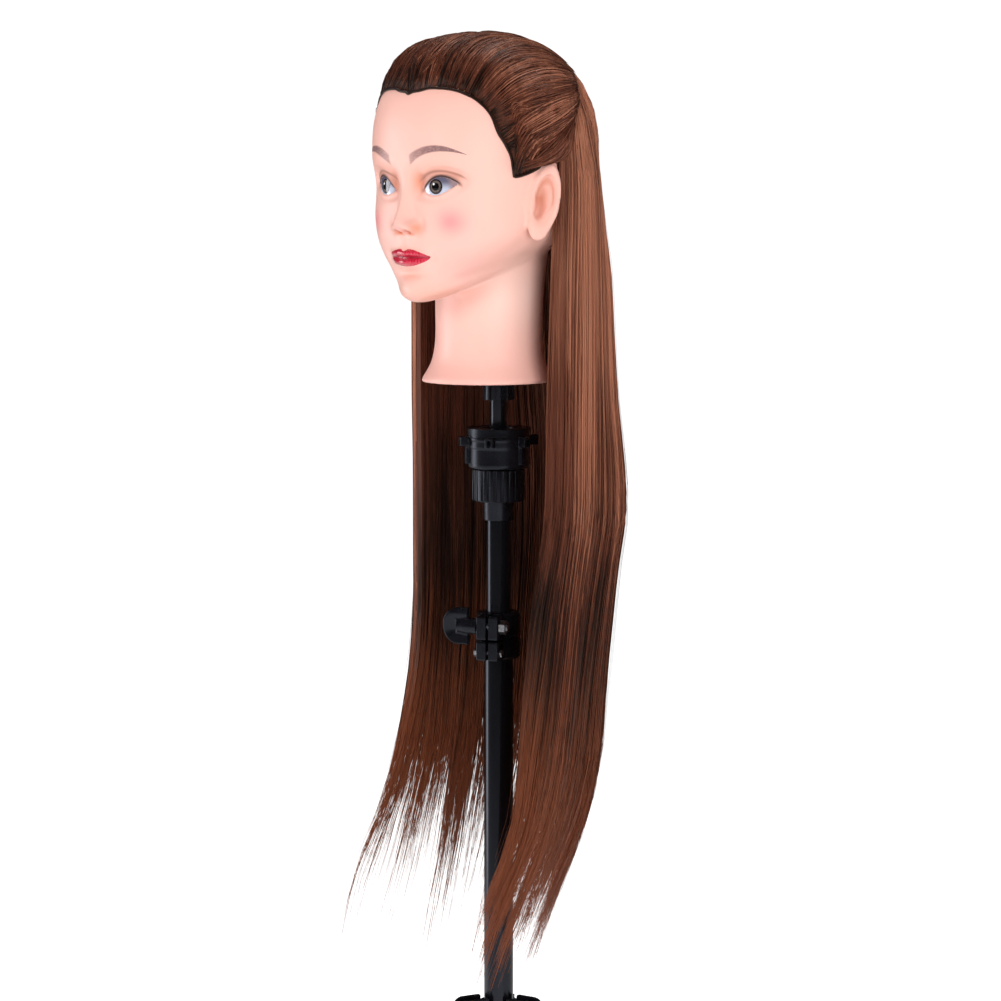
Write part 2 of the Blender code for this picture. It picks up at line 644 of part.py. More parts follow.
def make_leg(number, heading, hub, black, painted, rubber):
    pivot = empty(f"leg_pivot_{number}", polar(HUB_PIVOT_R, heading, 0), (0, -LEG_ANGLE, heading), hub)
    wide = HUB_EAR_INNER - GAP
    top = -0.0168
    shape = bmesh.new()
    outline = [(-0.0075, -0.0160), (0.0075, -0.0160)] + arc((0, 0), 0.0090, math.radians(-30), math.radians(210), 7)
    plate(shape, outline, -wide, wide)
    knuckle = add(f"leg_knuckle_{number}", shape, black, pivot)
    weld(knuckle, cylinder(0.0095, -0.0360, -0.0138))
    cut(knuckle, cylinder(LEG_R + GAP, -0.05, top + GAP))
    hole = cylinder(PIN_HOLE_R, -0.02, 0.02, SMALL)
    cut(knuckle, hole, (0, 0, 0), (math.radians(90), 0, 0))
    add(f"leg_tube_{number}", tube(LEG_R, LEG_R - LEG_WALL, -(LEG_LENGTH - 0.022), top, MEDIUM), painted, pivot)
    ring = add(f"brace_collar_{number}", tube(0.0098, LEG_R + GAP, -0.009, 0.009, MEDIUM), black, pivot,
               (0, 0, -BRACE_ATTACH))
    weld(ring, box((-0.0035, 0.0088, -0.0070), (0.0035, BRACE_SIDE - GAP, 0.0070)))
    foot = add(f"foot_{number}", foot_shape(), rubber, pivot)
    floor = add(f"floor_cutter_{number}", box((-0.5, -0.5, -0.1), (0.5, 0.5, 0.0)), None)
    boolean(foot, floor)


def make_brace_hub(column, black):
    hub = add("brace_hub", tube(0.0160, OUTER_TUBE_R + GAP, -0.0150, 0.0130), black, column, (0, 0, BRACE_HUB_Z))
    ears, holes = [], []
    for heading in LEG_HEADINGS:
        ear = bmesh.new()
        plate(ear, ear_outline(0.0120, BRACE_HUB_R, 0.0070), 0.0052, BRACE_SIDE - GAP)
        ears.append(turned(ear, heading))
        hole = cylinder(RIVET_HOLE_R, -0.016, 0.016, SMALL)
        for v in hole.verts:
            v.co.y, v.co.z = -v.co.z, v.co.y
        holes.append(turned(hole, heading, (BRACE_HUB_R, 0, 0)))
    weld(hub, merged(ears))
    cut(hub, merged(holes))


def make_brace(number, heading, column, painted, steel):
    place = polar(BRACE_HUB_R, heading, BRACE_HUB_Z)
    pivot = empty(f"brace_pivot_{number}", place, (0, BRACE_ANGLE, heading), column)
    half = BRACE_WIDTH / 2
    outer = BRACE_SIDE + BRACE_THICKNESS
    outline = arc((0, BRACE_LENGTH), half, 0, math.pi, 6) + arc((0, 0), half, math.pi, 2 * math.pi, 6)
    strap = bmesh.new()
    plate(strap, outline, BRACE_SIDE, outer)
    brace = add(f"brace_{number}", strap, painted, pivot)
    for z in (0, BRACE_LENGTH):
        cut(brace, cylinder(RIVET_HOLE_R, -0.03, 0.03, SMALL), (0, 0, z), (math.radians(90), 0, 0))
    head = 0.0015
    rivet = lathe([(0, BRACE_SIDE - GAP / 3), (RIVET_R, BRACE_SIDE - GAP / 3), (RIVET_R, outer + GAP),
                   (0.0044, outer + GAP), (0.0036, outer + GAP + head), (0, outer + GAP + head)], SMALL)
    for v in rivet.verts:
        v.co.y, v.co.z = v.co.z, -v.co.y
    add(f"brace_rivet_{number}", rivet, steel, pivot, (0, 0, BRACE_LENGTH))
    add(f"brace_pin_{number}", pin_shape(RIVET_R, 0.0040, 0.0049, outer + GAP, head), steel, column,
        place, (0, 0, heading))


def make_column(black, painted, rubber):
    column = empty("column")
    add("outer_tube", tube(OUTER_TUBE_R, OUTER_TUBE_R - OUTER_TUBE_WALL, OUTER_TUBE_BOTTOM, OUTER_TUBE_TOP),
        painted, column)
    bore = OUTER_TUBE_R + GAP
    spigot = OUTER_TUBE_R - OUTER_TUBE_WALL - GAP
    seat = OUTER_TUBE_BOTTOM - GAP
    plug = [(0, 0), (0.0128, 0), (0.0138, 0.0015), (0.0138, 0.0240), (bore, 0.0240), (bore, seat), (spigot, seat),
            (spigot, 0.0300), (0, 0.0300)]
    add("column_end_plug", lathe(plug), rubber, column)
    return column


def clear_scene():
    for obj in list(bpy.data.objects):
        bpy.data.objects.remove(obj, do_unlink=True)


def main():
    clear_scene()
    black = material("black_plastic", (0.014, 0.014, 0.016), 0.42)
    painted = material("black_painted_metal", (0.012, 0.012, 0.014), 0.30, 0.2)
    steel = material("zinc_steel", (0.55, 0.55, 0.56), 0.32, 1.0)
    nylon = material("white_nylon", (0.75, 0.74, 0.70), 0.45)
    rubber = material("black_rubber", (0.02, 0.02, 0.02), 0.8)
    vinyl = material("skin_vinyl", (0.90, 0.62, 0.50), 0.45)
    scalp = material("scalp_vinyl", (0.62, 0.40, 0.30), 0.55)
    socket = material("socket_plastic", (0.80, 0.72, 0.62), 0.5)
    hair = material("brown_hair", (0.16, 0.06, 0.035), 0.40)

    column = make_column(black, painted, rubber)
    make_collar(column, black)
    make_collar_hardware(column, black, steel)
    make_brace_hub(column, black)
    hub = make_leg_hub(column, black, steel)
    for number, heading in enumerate(LEG_HEADINGS, 1):
        make_leg(number, heading, hub, black, painted, rubber)
        pin = pin_shape(PIN_R, 0.0040, -HUB_EAR_OUTER - GAP, HUB_EAR_OUTER + GAP, 0.0014)
        add(f"leg_pivot_pin_{number}", pin, steel, hub, polar(HUB_PIVOT_R, heading, 0), (0, 0, heading))
        make_brace(number, heading, column, painted, steel)
    inner = make_inner_column(column, black, painted, nylon)
    drop = -ADAPTER_BOTTOM
    ring_parent = empty("swivel_base", (0, 0, drop), parent=inner)
    make_lock_ring(ring_parent, black)
    cup = make_cup(ring_parent, black, nylon)
    swivel = empty("swivel_centre", (0, 0, -CUP_BOTTOM), parent=cup)
    post = make_post(swivel, steel, black, painted)
    carrier = empty("head_carrier", (0, 0, -BALL_Z), parent=post)
    head = make_head(carrier, vinyl, scalp, socket, hair)
    make_hair_fall(head, hair)


main()
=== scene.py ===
"""Mannequin training head with long hair on a tripod stand: the looks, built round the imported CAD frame."""
import json
import math

import bmesh
import bpy
import numpy as np
from mathutils import Euler, Matrix, Vector


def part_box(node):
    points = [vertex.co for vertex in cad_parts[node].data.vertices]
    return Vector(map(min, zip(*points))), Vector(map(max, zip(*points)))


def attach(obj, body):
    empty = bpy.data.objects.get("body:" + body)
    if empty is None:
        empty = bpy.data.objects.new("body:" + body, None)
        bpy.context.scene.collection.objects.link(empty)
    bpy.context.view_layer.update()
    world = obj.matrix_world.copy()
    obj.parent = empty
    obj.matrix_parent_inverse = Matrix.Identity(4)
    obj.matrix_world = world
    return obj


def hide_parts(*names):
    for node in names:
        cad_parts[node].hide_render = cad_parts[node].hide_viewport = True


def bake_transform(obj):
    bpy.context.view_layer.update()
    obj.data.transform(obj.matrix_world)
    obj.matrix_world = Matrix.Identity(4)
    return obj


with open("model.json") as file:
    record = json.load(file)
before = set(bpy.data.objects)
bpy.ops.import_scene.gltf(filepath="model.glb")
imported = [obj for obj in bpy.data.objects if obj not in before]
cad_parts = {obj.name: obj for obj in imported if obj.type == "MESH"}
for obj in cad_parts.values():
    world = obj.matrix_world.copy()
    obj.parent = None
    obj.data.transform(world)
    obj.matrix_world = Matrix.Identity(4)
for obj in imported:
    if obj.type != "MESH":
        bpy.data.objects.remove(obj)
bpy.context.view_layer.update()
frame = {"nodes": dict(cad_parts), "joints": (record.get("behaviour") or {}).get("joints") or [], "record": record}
rng = np.random.default_rng(11)

MM = 0.001
NECK_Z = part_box("head_shell")[0].z  # flat base of the neck


# ------------------------------------------------------------------ shader arithmetic
class Value:
    """A number or vector inside a material's node tree, with ordinary arithmetic."""

    def __init__(self, tree, socket):
        self.tree = tree
        self.socket = socket

    def math(self, operation, *others):
        node = self.tree.nodes.new("ShaderNodeMath")
        node.operation = operation
        for slot, item in enumerate((self, *others)):
            if isinstance(item, Value):
                self.tree.links.new(item.socket, node.inputs[slot])
            else:
                node.inputs[slot].default_value = float(item)
        return Value(self.tree, node.outputs[0])

    def __add__(self, other):
        return self.math("ADD", other)

    def __sub__(self, other):
        return self.math("SUBTRACT", other)

    def __mul__(self, other):
        return self.math("MULTIPLY", other)

    def __truediv__(self, other):
        return self.math("DIVIDE", other)

    def __neg__(self):
        return self.math("MULTIPLY", -1.0)

    __radd__ = __add__
    __rmul__ = __mul__

    def __rsub__(self, other):
        return (-self) + other

    def abs(self):
        return self.math("ABSOLUTE")

    def power(self, exponent):
        return self.math("POWER", exponent)

    def gauss(self, width):
        """A bell over this value: 1 at zero, falling off over the width."""
        scaled = self / width
        return (-(scaled * scaled)).math("EXPONENT")

    def step(self, low, high):
        """0 below low, 1 above high, smooth in between."""
        node = self.tree.nodes.new("ShaderNodeMapRange")
        node.interpolation_type = "SMOOTHSTEP"
        self.tree.links.new(self.socket, node.inputs["Value"])
        node.inputs["From Min"].default_value = low
        node.inputs["From Max"].default_value = high
        return Value(self.tree, node.outputs["Result"])

    def colour(self, first, second):
        """Mix of two colours (tuples or Values), by this value."""
        node = self.tree.nodes.new("ShaderNodeMix")
        node.data_type = "RGBA"
        self.tree.links.new(self.socket, node.inputs["Factor"])
        for name, item in (("A", first), ("B", second)):
            slot = [s for s in node.inputs if s.name == name and s.type == "RGBA"][0]
            if isinstance(item, Value):
                self.tree.links.new(item.socket, slot)
            else:
                slot.default_value = (*item, 1.0)
        out = [s for s in node.outputs if s.type == "RGBA"][0]
        return Value(self.tree, out)


class Finish:
    """A material being built: object coordinates in millimetres and a Principled shader."""

    def __init__(self, name, roughness=0.5, metallic=0.0):
        self.material = bpy.data.materials.new(name)
        self.material.use_nodes = True
        self.tree = self.material.node_tree
        self.shader = self.tree.nodes["Principled BSDF"]
        self.shader.inputs["Roughness"].default_value = roughness
        self.shader.inputs["Metallic"].default_value = metallic
        coords = self.tree.nodes.new("ShaderNodeTexCoord")
        self.place = coords.outputs["Object"]

    def xyz(self):
        """Object coordinates in millimetres."""
        node = self.tree.nodes.new("ShaderNodeSeparateXYZ")
        self.tree.links.new(self.place, node.inputs[0])
        return [Value(self.tree, s) / MM for s in node.outputs]

    def noise(self, scale, detail=3.0, stretch=(1, 1, 1)):
        mapping = self.tree.nodes.new("ShaderNodeMapping")
        mapping.inputs["Scale"].default_value = stretch
        self.tree.links.new(self.place, mapping.inputs["Vector"])
        node = self.tree.nodes.new("ShaderNodeTexNoise")
        node.inputs["Scale"].default_value = scale
        node.inputs["Detail"].default_value = detail
        self.tree.links.new(mapping.outputs[0], node.inputs["Vector"])
        return Value(self.tree, node.outputs["Fac"])

    def attribute(self, name):
        node = self.tree.nodes.new("ShaderNodeAttribute")
        node.attribute_name = name
        return Value(self.tree, node.outputs["Fac"])

    def set(self, slot, value):
        if isinstance(value, Value):
            self.tree.links.new(value.socket, self.shader.inputs[slot])
        elif isinstance(value, tuple):
            self.shader.inputs[slot].default_value = (*value, 1.0)
        else:
            self.shader.inputs[slot].default_value = value
        return self

    def bump(self, height, distance, strength=1.0):
        node = self.tree.nodes.new("ShaderNodeBump")
        node.inputs["Strength"].default_value = strength
        node.inputs["Distance"].default_value = distance
        self.tree.links.new(height.socket, node.inputs["Height"])
        self.tree.links.new(node.outputs["Normal"], self.shader.inputs["Normal"])
        return self


def srgb(red, green, blue):
    """Linear colour of an 8-bit display colour."""
    def one(value):
        value /= 255
        return value / 12.92 if value < 0.04045 else ((value + 0.055) / 1.055) ** 2.4
    return (one(red), one(green), one(blue))


# ------------------------------------------------------------------ mesh helpers
def mesh_object(name, vertices, faces, material, smooth_angle=None):
    mesh = bpy.data.meshes.new(name)
    vertices = np.asarray(vertices, dtype=np.float32)
    faces = np.asarray(faces, dtype=np.int32)
    mesh.vertices.add(len(vertices))
    mesh.vertices.foreach_set("co", vertices.ravel())
    mesh.loops.add(faces.size)
    mesh.loops.foreach_set("vertex_index", faces.ravel())
    mesh.polygons.add(len(faces))
    width = faces.shape[1]
    mesh.polygons.foreach_set("loop_start", np.arange(0, faces.size, width, dtype=np.int32))
    mesh.update(calc_edges=True)
    mesh.validate()
    mesh.shade_smooth()
    if smooth_angle is not None:
        mesh.set_sharp_from_angle(angle=math.radians(smooth_angle))
    mesh.materials.append(material)
    obj = bpy.data.objects.new(name, mesh)
    bpy.context.scene.collection.objects.link(obj)
    return obj


class Profile:
    """Smooth curve through a few knots: one column of values over a first column of places."""

    def __init__(self, knots):
        self.x = np.array([k[0] for k in knots], float)
        self.y = np.array([k[1] for k in knots], float)
        slopes = np.diff(self.y) / np.diff(self.x)
        inner = (slopes[1:] + slopes[:-1]) / 2
        inner[slopes[1:] * slopes[:-1] <= 0] = 0.0
        self.m = np.concatenate(([slopes[0]], inner, [slopes[-1]]))

    def __call__(self, place):
        place = np.clip(place, self.x[0], self.x[-1])
        i = np.clip(np.searchsorted(self.x, place) - 1, 0, len(self.x) - 2)
        width = self.x[i + 1] - self.x[i]
        t = (place - self.x[i]) / width
        low = (1 + 2 * t) * (1 - t) ** 2 * self.y[i] + t * (1 - t) ** 2 * width * self.m[i]
        high = t * t * (3 - 2 * t) * self.y[i + 1] + t * t * (t - 1) * width * self.m[i + 1]
        return low + high


def smooth_step(value, low, high):
    t = np.clip((value - low) / (high - low), 0, 1)
    return t * t * (3 - 2 * t)


def smooth_union(a, b, radius):
    h = np.clip(0.5 + 0.5 * (b - a) / radius, 0, 1)
    return b + (a - b) * h - radius * h * (1 - h)


def smooth_cut(a, cutter, radius):
    return -smooth_union(-a, cutter, radius)


def ellipsoid(place, middle, radii, size):
    """Roughly the distance to an ellipsoid, scaled by one size."""
    return np.sqrt(sum(((v - m) / r) ** 2 for v, m, r in zip(place, middle, radii))) * size - size


def bell(*pairs):
    """exp of minus the sum of squared value over width."""
    return np.exp(-sum((value / width) ** 2 for value, width in pairs))


# ------------------------------------------------------------------ head shape, mm above the neck base
# height, half-width, front y, back y, squareness
FACE_KNOTS = (
    (55, 8, -58, -6, 2.0), (60, 29, -82, 18, 2.0), (66, 40, -91.5, 32, 2.0),
    (74, 47, -94.0, 42, 2.0), (84, 55, -93.5, 48, 2.2), (97, 62.5, -95.5, 54, 2.4),
    (110, 67.5, -97, 58, 2.5), (125, 71, -97.5, 61, 2.5), (150, 74, -98.5, 64, 2.35),
    (180, 75.5, -103.0, 66, 2.3), (205, 74, -102.5, 65, 2.25), (225, 69, -95.5, 60, 2.2),
    (240, 59.5, -82, 50, 2.15), (251, 45, -62, 34, 2.1), (257, 29, -41, 15, 2.0),
    (260, 6, -18, -8, 2.0))
NECK_KNOTS = (
    (-5, 50.0, -63.5, 35.5), (0, 50.0, -63.5, 35.5), (3, 49.5, -62.8, 35.0), (8, 47.0, -59.5, 33.6),
    (15, 44, -55.5, 32.0), (28, 41.5, -52.5, 30), (60, 41.0, -52, 31), (110, 44, -50, 38))
FACE = [Profile([(k[0], k[i]) for k in FACE_KNOTS]) for i in range(1, 5)]
NECK = [Profile([(k[0], k[i]) for k in NECK_KNOTS]) for i in range(1, 4)]
CROWN = 260.0
EYE = (29.5, -77.3, 150.3)     # middle of the left eye's opening
BALL = (21.6, -68.7, 150.3)    # centre the left eye's curved front is struck from
EYE_R = 26.0
LID_R = 26.9
MOUTH_HALF = 21.0
MOUTH_H = 97.6


def oval(x, y, half, front, back, square, middle):
    depth = np.where(y < middle, middle - front, back - middle)
    depth = np.maximum(depth, 1.0)
    half = np.maximum(half, 1.0)
    r = ((np.abs(x) / half) ** square + (np.abs(y - middle) / depth) ** square) ** (1 / square)
    return (r - 1) * np.minimum(half, depth)


def skull(x, y, h):
    """Head without neck, ears or features; the jaw's lower edge rises towards the ears."""
    rise = 0.42 * np.clip(y + 90, 0, 120) * (1 - smooth_step(h, 78, 140))
    level = h - rise
    half, front, back, square = (p(level) for p in FACE)
    middle = -16.0 - 6.0 * (1 - smooth_step(h, 70, 150))
    body = np.maximum(oval(x, y, half, front, back, square, middle), 55.5 - level)
    depth = np.where(y < -16, 87.0, 82.0)
    flat = ((np.abs(x) / 75.5) ** 2.3 + (np.abs(y + 16) / depth) ** 2.3) ** (1 / 2.3)
    dome = ((flat ** 2.3 + (np.maximum(h - 180, 0) / (CROWN - 180)) ** 2.3) ** (1 / 2.3) - 1) * 76
    mix = smooth_step(h, 168, 186)
    return body * (1 - mix) + dome * mix


def eye_line(out):
    """Straight line through the eye's two corners: height over the ball's centre."""
    return -3.0 + (out + 13.5) * 0.205


# rises and hollows of the face: how far out, distance from the middle and width, height and width
RELIEF = (
    (-1.4, 15.8, 2.8, 121.0, 6.0),  # crease beside the nostril wings
    (-3.0, 31, 15, 152, 10),        # eye sockets
    (-4.6, 15.5, 6.0, 153, 8),      # beside the bridge of the nose
    (1.6, 30, 17, 171, 6.5),        # brow
    (3.0, 0, 19, 99, 13),           # muzzle
    (-1.6, 22.5, 3.6, 98, 4),       # corners of the mouth
    (-0.9, 0, 2.4, 108, 3.6),       # philtrum
    (-2.2, 0, 15, 85.5, 3.6),       # above the chin
    (3.0, 0, 13, 74, 8),            # chin
    (1.8, 40, 16, 122, 17),         # cheeks
)


def face_relief(x, h):
    """How far the features stand out of the plain face, in millimetres."""
    side = np.abs(x)
    ridge = Profile([(109, 0), (114, 0.3), (116, 3.0), (118, 8.2), (121, 12.0), (124, 12.6), (128, 10.8),
                     (135, 7.6), (142, 4.8), (150, 2.6), (158, 1.4), (168, 0.3), (176, 0)])(h)
    width = Profile([(109, 7.6), (118, 7.8), (123, 7.2), (131, 6.0), (142, 5.4), (155, 6.5), (176, 9)])(h)
    relief = ridge * np.exp(-(side / width) ** 2.1)
    relief += 5.0 * np.exp(-np.hypot((side - 9.4) / 4.6, (h - 120.3) / 4.9) ** 2.4)  # nostril wings
    for amount, out, width, height, tall in RELIEF:
        relief += amount * bell((side - out, width), (h - height, tall))
    inside = np.clip(1 - (side / (MOUTH_HALF + 1.5)) ** 2, 0, 1)
    relief += 3.4 * bell((h - 100.6 - 0.4 * bell((side - 5, 4)), 2.5)) * inside
    relief += 3.8 * bell((h - 93.6, 3.1)) * np.clip(1 - (side / 18) ** 2, 0, 1)
    relief -= 1.9 * bell((h - MOUTH_H + 0.7 * bell((x, 6)), 0.9)) * inside
    return relief


def ear(x, y, h):
    """Left ear, in its own frame: p backward, q up, r outward."""
    lean = math.radians(12)
    flare = math.radians(20)
    dx, dy, dh = x - 76.0, y + 28.5, h - 138.5
    back = dy * math.cos(flare) + dx * math.sin(flare)
    out = -dy * math.sin(flare) + dx * math.cos(flare)
    p = back * math.cos(lean) - dh * math.sin(lean)
    q = back * math.sin(lean) + dh * math.cos(lean)
    narrow = 11.6 - 2.4 * smooth_step(-q, 4, 26)
    round_ = np.sqrt((p / narrow) ** 2 + (q / 27.0) ** 2)
    plate = np.maximum((round_ - 1) * 11.6, np.abs(out + 0.5) - 1.6)
    rim = np.sqrt(((round_ - 0.90) * 11.6) ** 2 + (out - 1.8) ** 2) - 2.1
    rim = np.where(q < -17, np.maximum(rim, (-q - 17) * 0.6), rim)
    lobe = ellipsoid((p, q, out), (0.0, -20.0, 0.0), (8.0, 7.5, 3.1), 3.4)
    fold = np.sqrt(((np.sqrt((p + 2.5) ** 2 + (q * 0.42 - 0.5) ** 2)) - 6.0) ** 2 + (out - 1.3) ** 2) - 1.5
    fold = np.maximum(fold, -(p + 2.5))
    backing = ellipsoid((p, q, out), (-3.0, -3.0, -3.5), (8.5, 12.5, 4.5), 4.5)
    shape = smooth_union(smooth_union(smooth_union(plate, rim, 1.4), lobe, 3.0), backing, 2.0)
    shape = smooth_union(shape, fold, 1.2)
    bowl = ellipsoid((p, q, out), (-2.6, -3.0, 2.4), (4.6, 9.0, 5.2), 4.6)
    groove = np.sqrt(((round_ - 0.66) * 11.6) ** 2 + (out - 2.2) ** 2) - 1.3
    bowl = np.minimum(bowl, np.maximum(groove, 3.0 - q))
    tragus = ellipsoid((p, q, out), (-8.6, -4.0, 0.0), (3.2, 5.0, 3.0), 3.2)
    return smooth_union(smooth_cut(shape, bowl, 1.6), tragus, 1.8)


def eye_opening(side, h):
    """Negative inside the almond between the lids."""
    out = side - EYE[0]
    centre = h - EYE[2] - eye_line(out)
    arch = 1 - ((out + 0.5) / 13.8) ** 2
    return np.maximum(centre - 7.6 * arch, -5.8 * arch - centre)


def head_field(x, y, h):
    """Negative inside the vinyl head."""
    side = np.abs(x)
    facing = 1 - smooth_step(y, -72, -40)
    pushed = y + face_relief(x, h) * facing
    head = skull(x, pushed, h)
    half, front, back = (p(h) for p in NECK)
    neck = np.maximum(oval(x, y, half, front, back, 2.05, -10.0), h - 120)
    head = smooth_union(head, neck, 9.0)
    ball = np.sqrt((side - BALL[0]) ** 2 + (y - BALL[1]) ** 2 + (h - BALL[2]) ** 2)
    high = h - EYE[2] - 0.6 - eye_line(side - EYE[0])
    near = np.hypot((side - EYE[0]) / 16.5, high / np.where(high > 0, 10.5, 8.4))
    lids = (1 - smooth_step(near, 0.70, 1.45)) * (y < -60)
    head = head + (ball - LID_R - head) * lids
    opening = np.maximum(np.maximum(eye_opening(side, h), EYE_R - 0.35 - ball), y + 72)
    head = smooth_cut(head, opening, 0.5)
    nostril = ellipsoid((side, y, h), (4.9, -101.5, 116.8), (2.3, 4.0, 2.3), 2.3)
    head = smooth_cut(head, nostril, 1.4)
    near_ear = (side > 58) & (h > 100) & (h < 178)
    shell = np.full_like(head, 60.0)
    shell[near_ear] = ear(side[near_ear], y[near_ear], h[near_ear])
    head = smooth_union(head, shell, 4.0)
    head = -smooth_union(-head, h, 1.5)
    bore = np.sqrt(x ** 2 + y ** 2) - 15.6
    bore = np.maximum(bore, h - 83)
    chamber = np.maximum(np.sqrt(x ** 2 + y ** 2) - 24.0, np.maximum(4.6 - h, h - 83))
    return np.maximum(head, -np.minimum(bore, chamber))


def graded(stops):
    """Grid lines whose spacing changes at given stops: (start, spacing), ..., end."""
    lines = [stops[0][0]]
    for (start, gap), following in zip(stops[:-1], stops[1:]):
        end = following[0]
        count = max(1, round((end - start) / gap))
        lines.extend(start + (end - start) * (i + 1) / count for i in range(count))
    return np.array(lines)


def surface_net(field, axes):
    """Closed quad mesh of a field's zero surface on a graded grid."""
    grid = np.meshgrid(*axes, indexing="ij")
    values = field(*grid)
    inside = values < 0
    corners = [inside[i:inside.shape[0] - 1 + i, j:inside.shape[1] - 1 + j, k:inside.shape[2] - 1 + k]
               for i in (0, 1) for j in (0, 1) for k in (0, 1)]
    total = sum(c.astype(np.int8) for c in corners)
    cells = np.argwhere((total > 0) & (total < 8))
    number = -np.ones(total.shape, int)
    number[tuple(cells.T)] = np.arange(len(cells))
    place = np.zeros((len(cells), 3))
    count = np.zeros(len(cells))
    for axis in range(3):
        others = [a for a in range(3) if a != axis]
        for a in (0, 1):
            for b in (0, 1):
                low = cells.copy()
                low[:, others[0]] += a
                low[:, others[1]] += b
                high = low.copy()
                high[:, axis] += 1
                v0, v1 = values[tuple(low.T)], values[tuple(high.T)]
                cross = (v0 < 0) != (v1 < 0)
                t = np.where(cross, v0 / np.where(cross, v0 - v1, 1), 0)
                point = np.stack([axes[i][low[:, i]] for i in range(3)], 1)
                span = axes[axis][high[:, axis]] - axes[axis][low[:, axis]]
                point[:, axis] += t * span
                place += point * cross[:, None]
                count += cross
    place /= count[:, None]
    quads = []
    for axis in range(3):
        u, v = [a for a in range(3) if a != axis]
        low = [slice(None)] * 3
        high = [slice(None)] * 3
        low[axis], high[axis] = slice(0, -1), slice(1, None)
        a, b = inside[tuple(low)], inside[tuple(high)]
        edges = np.argwhere(a != b)
        edges = edges[(edges[:, u] > 0) & (edges[:, v] > 0)]
        edges = edges[(edges[:, u] < inside.shape[u] - 1) & (edges[:, v] < inside.shape[v] - 1)]
        ring = []
        for du, dv in ((-1, -1), (0, -1), (0, 0), (-1, 0)):
            cell = edges.copy()
            cell[:, u] += du
            cell[:, v] += dv
            ring.append(number[tuple(cell.T)])
        quad = np.stack(ring, 1)
        flip = a[tuple(edges.T)] == (axis == 1)
        quad[flip] = quad[flip][:, ::-1]
        quads.append(quad)
    return place, np.concatenate(quads)


def settle(field, points, rounds=3):
    """Move points onto a field's zero surface."""
    eps = 0.04
    for _ in range(rounds):
        value = field(*points.T)
        slope = np.empty_like(points)
        for axis in range(3):
            ahead = points.copy()
            ahead[:, axis] += eps
            slope[:, axis] = (field(*ahead.T) - value) / eps
        size = np.maximum((slope ** 2).sum(1), 0.05)
        move = -value / size
        shift = slope * move[:, None]
        length = np.linalg.norm(shift, axis=1, keepdims=True)
        points = points + shift * np.minimum(1, 0.8 / np.maximum(length, 1e-9))
    return points


def to_world(points):
    """Millimetres above the neck base to metres in the frame."""
    return np.asarray(points) * MM + np.array([0, 0, NECK_Z])


# ------------------------------------------------------------------ the head's pieces
def make_head():
    axes = (graded([(-90, 2.2), (-46, 1.2), (46, 2.2), (90, 0)]),
            graded([(-118, 1.1), (-66, 2.4), (74, 0)]),
            graded([(-3, 2.4), (56, 1.15), (170, 2.6), (266, 0)]))
    points, quads = surface_net(head_field, axes)
    return mesh_object("mannequin_head", to_world(settle(head_field, points)), quads, skin_finish())


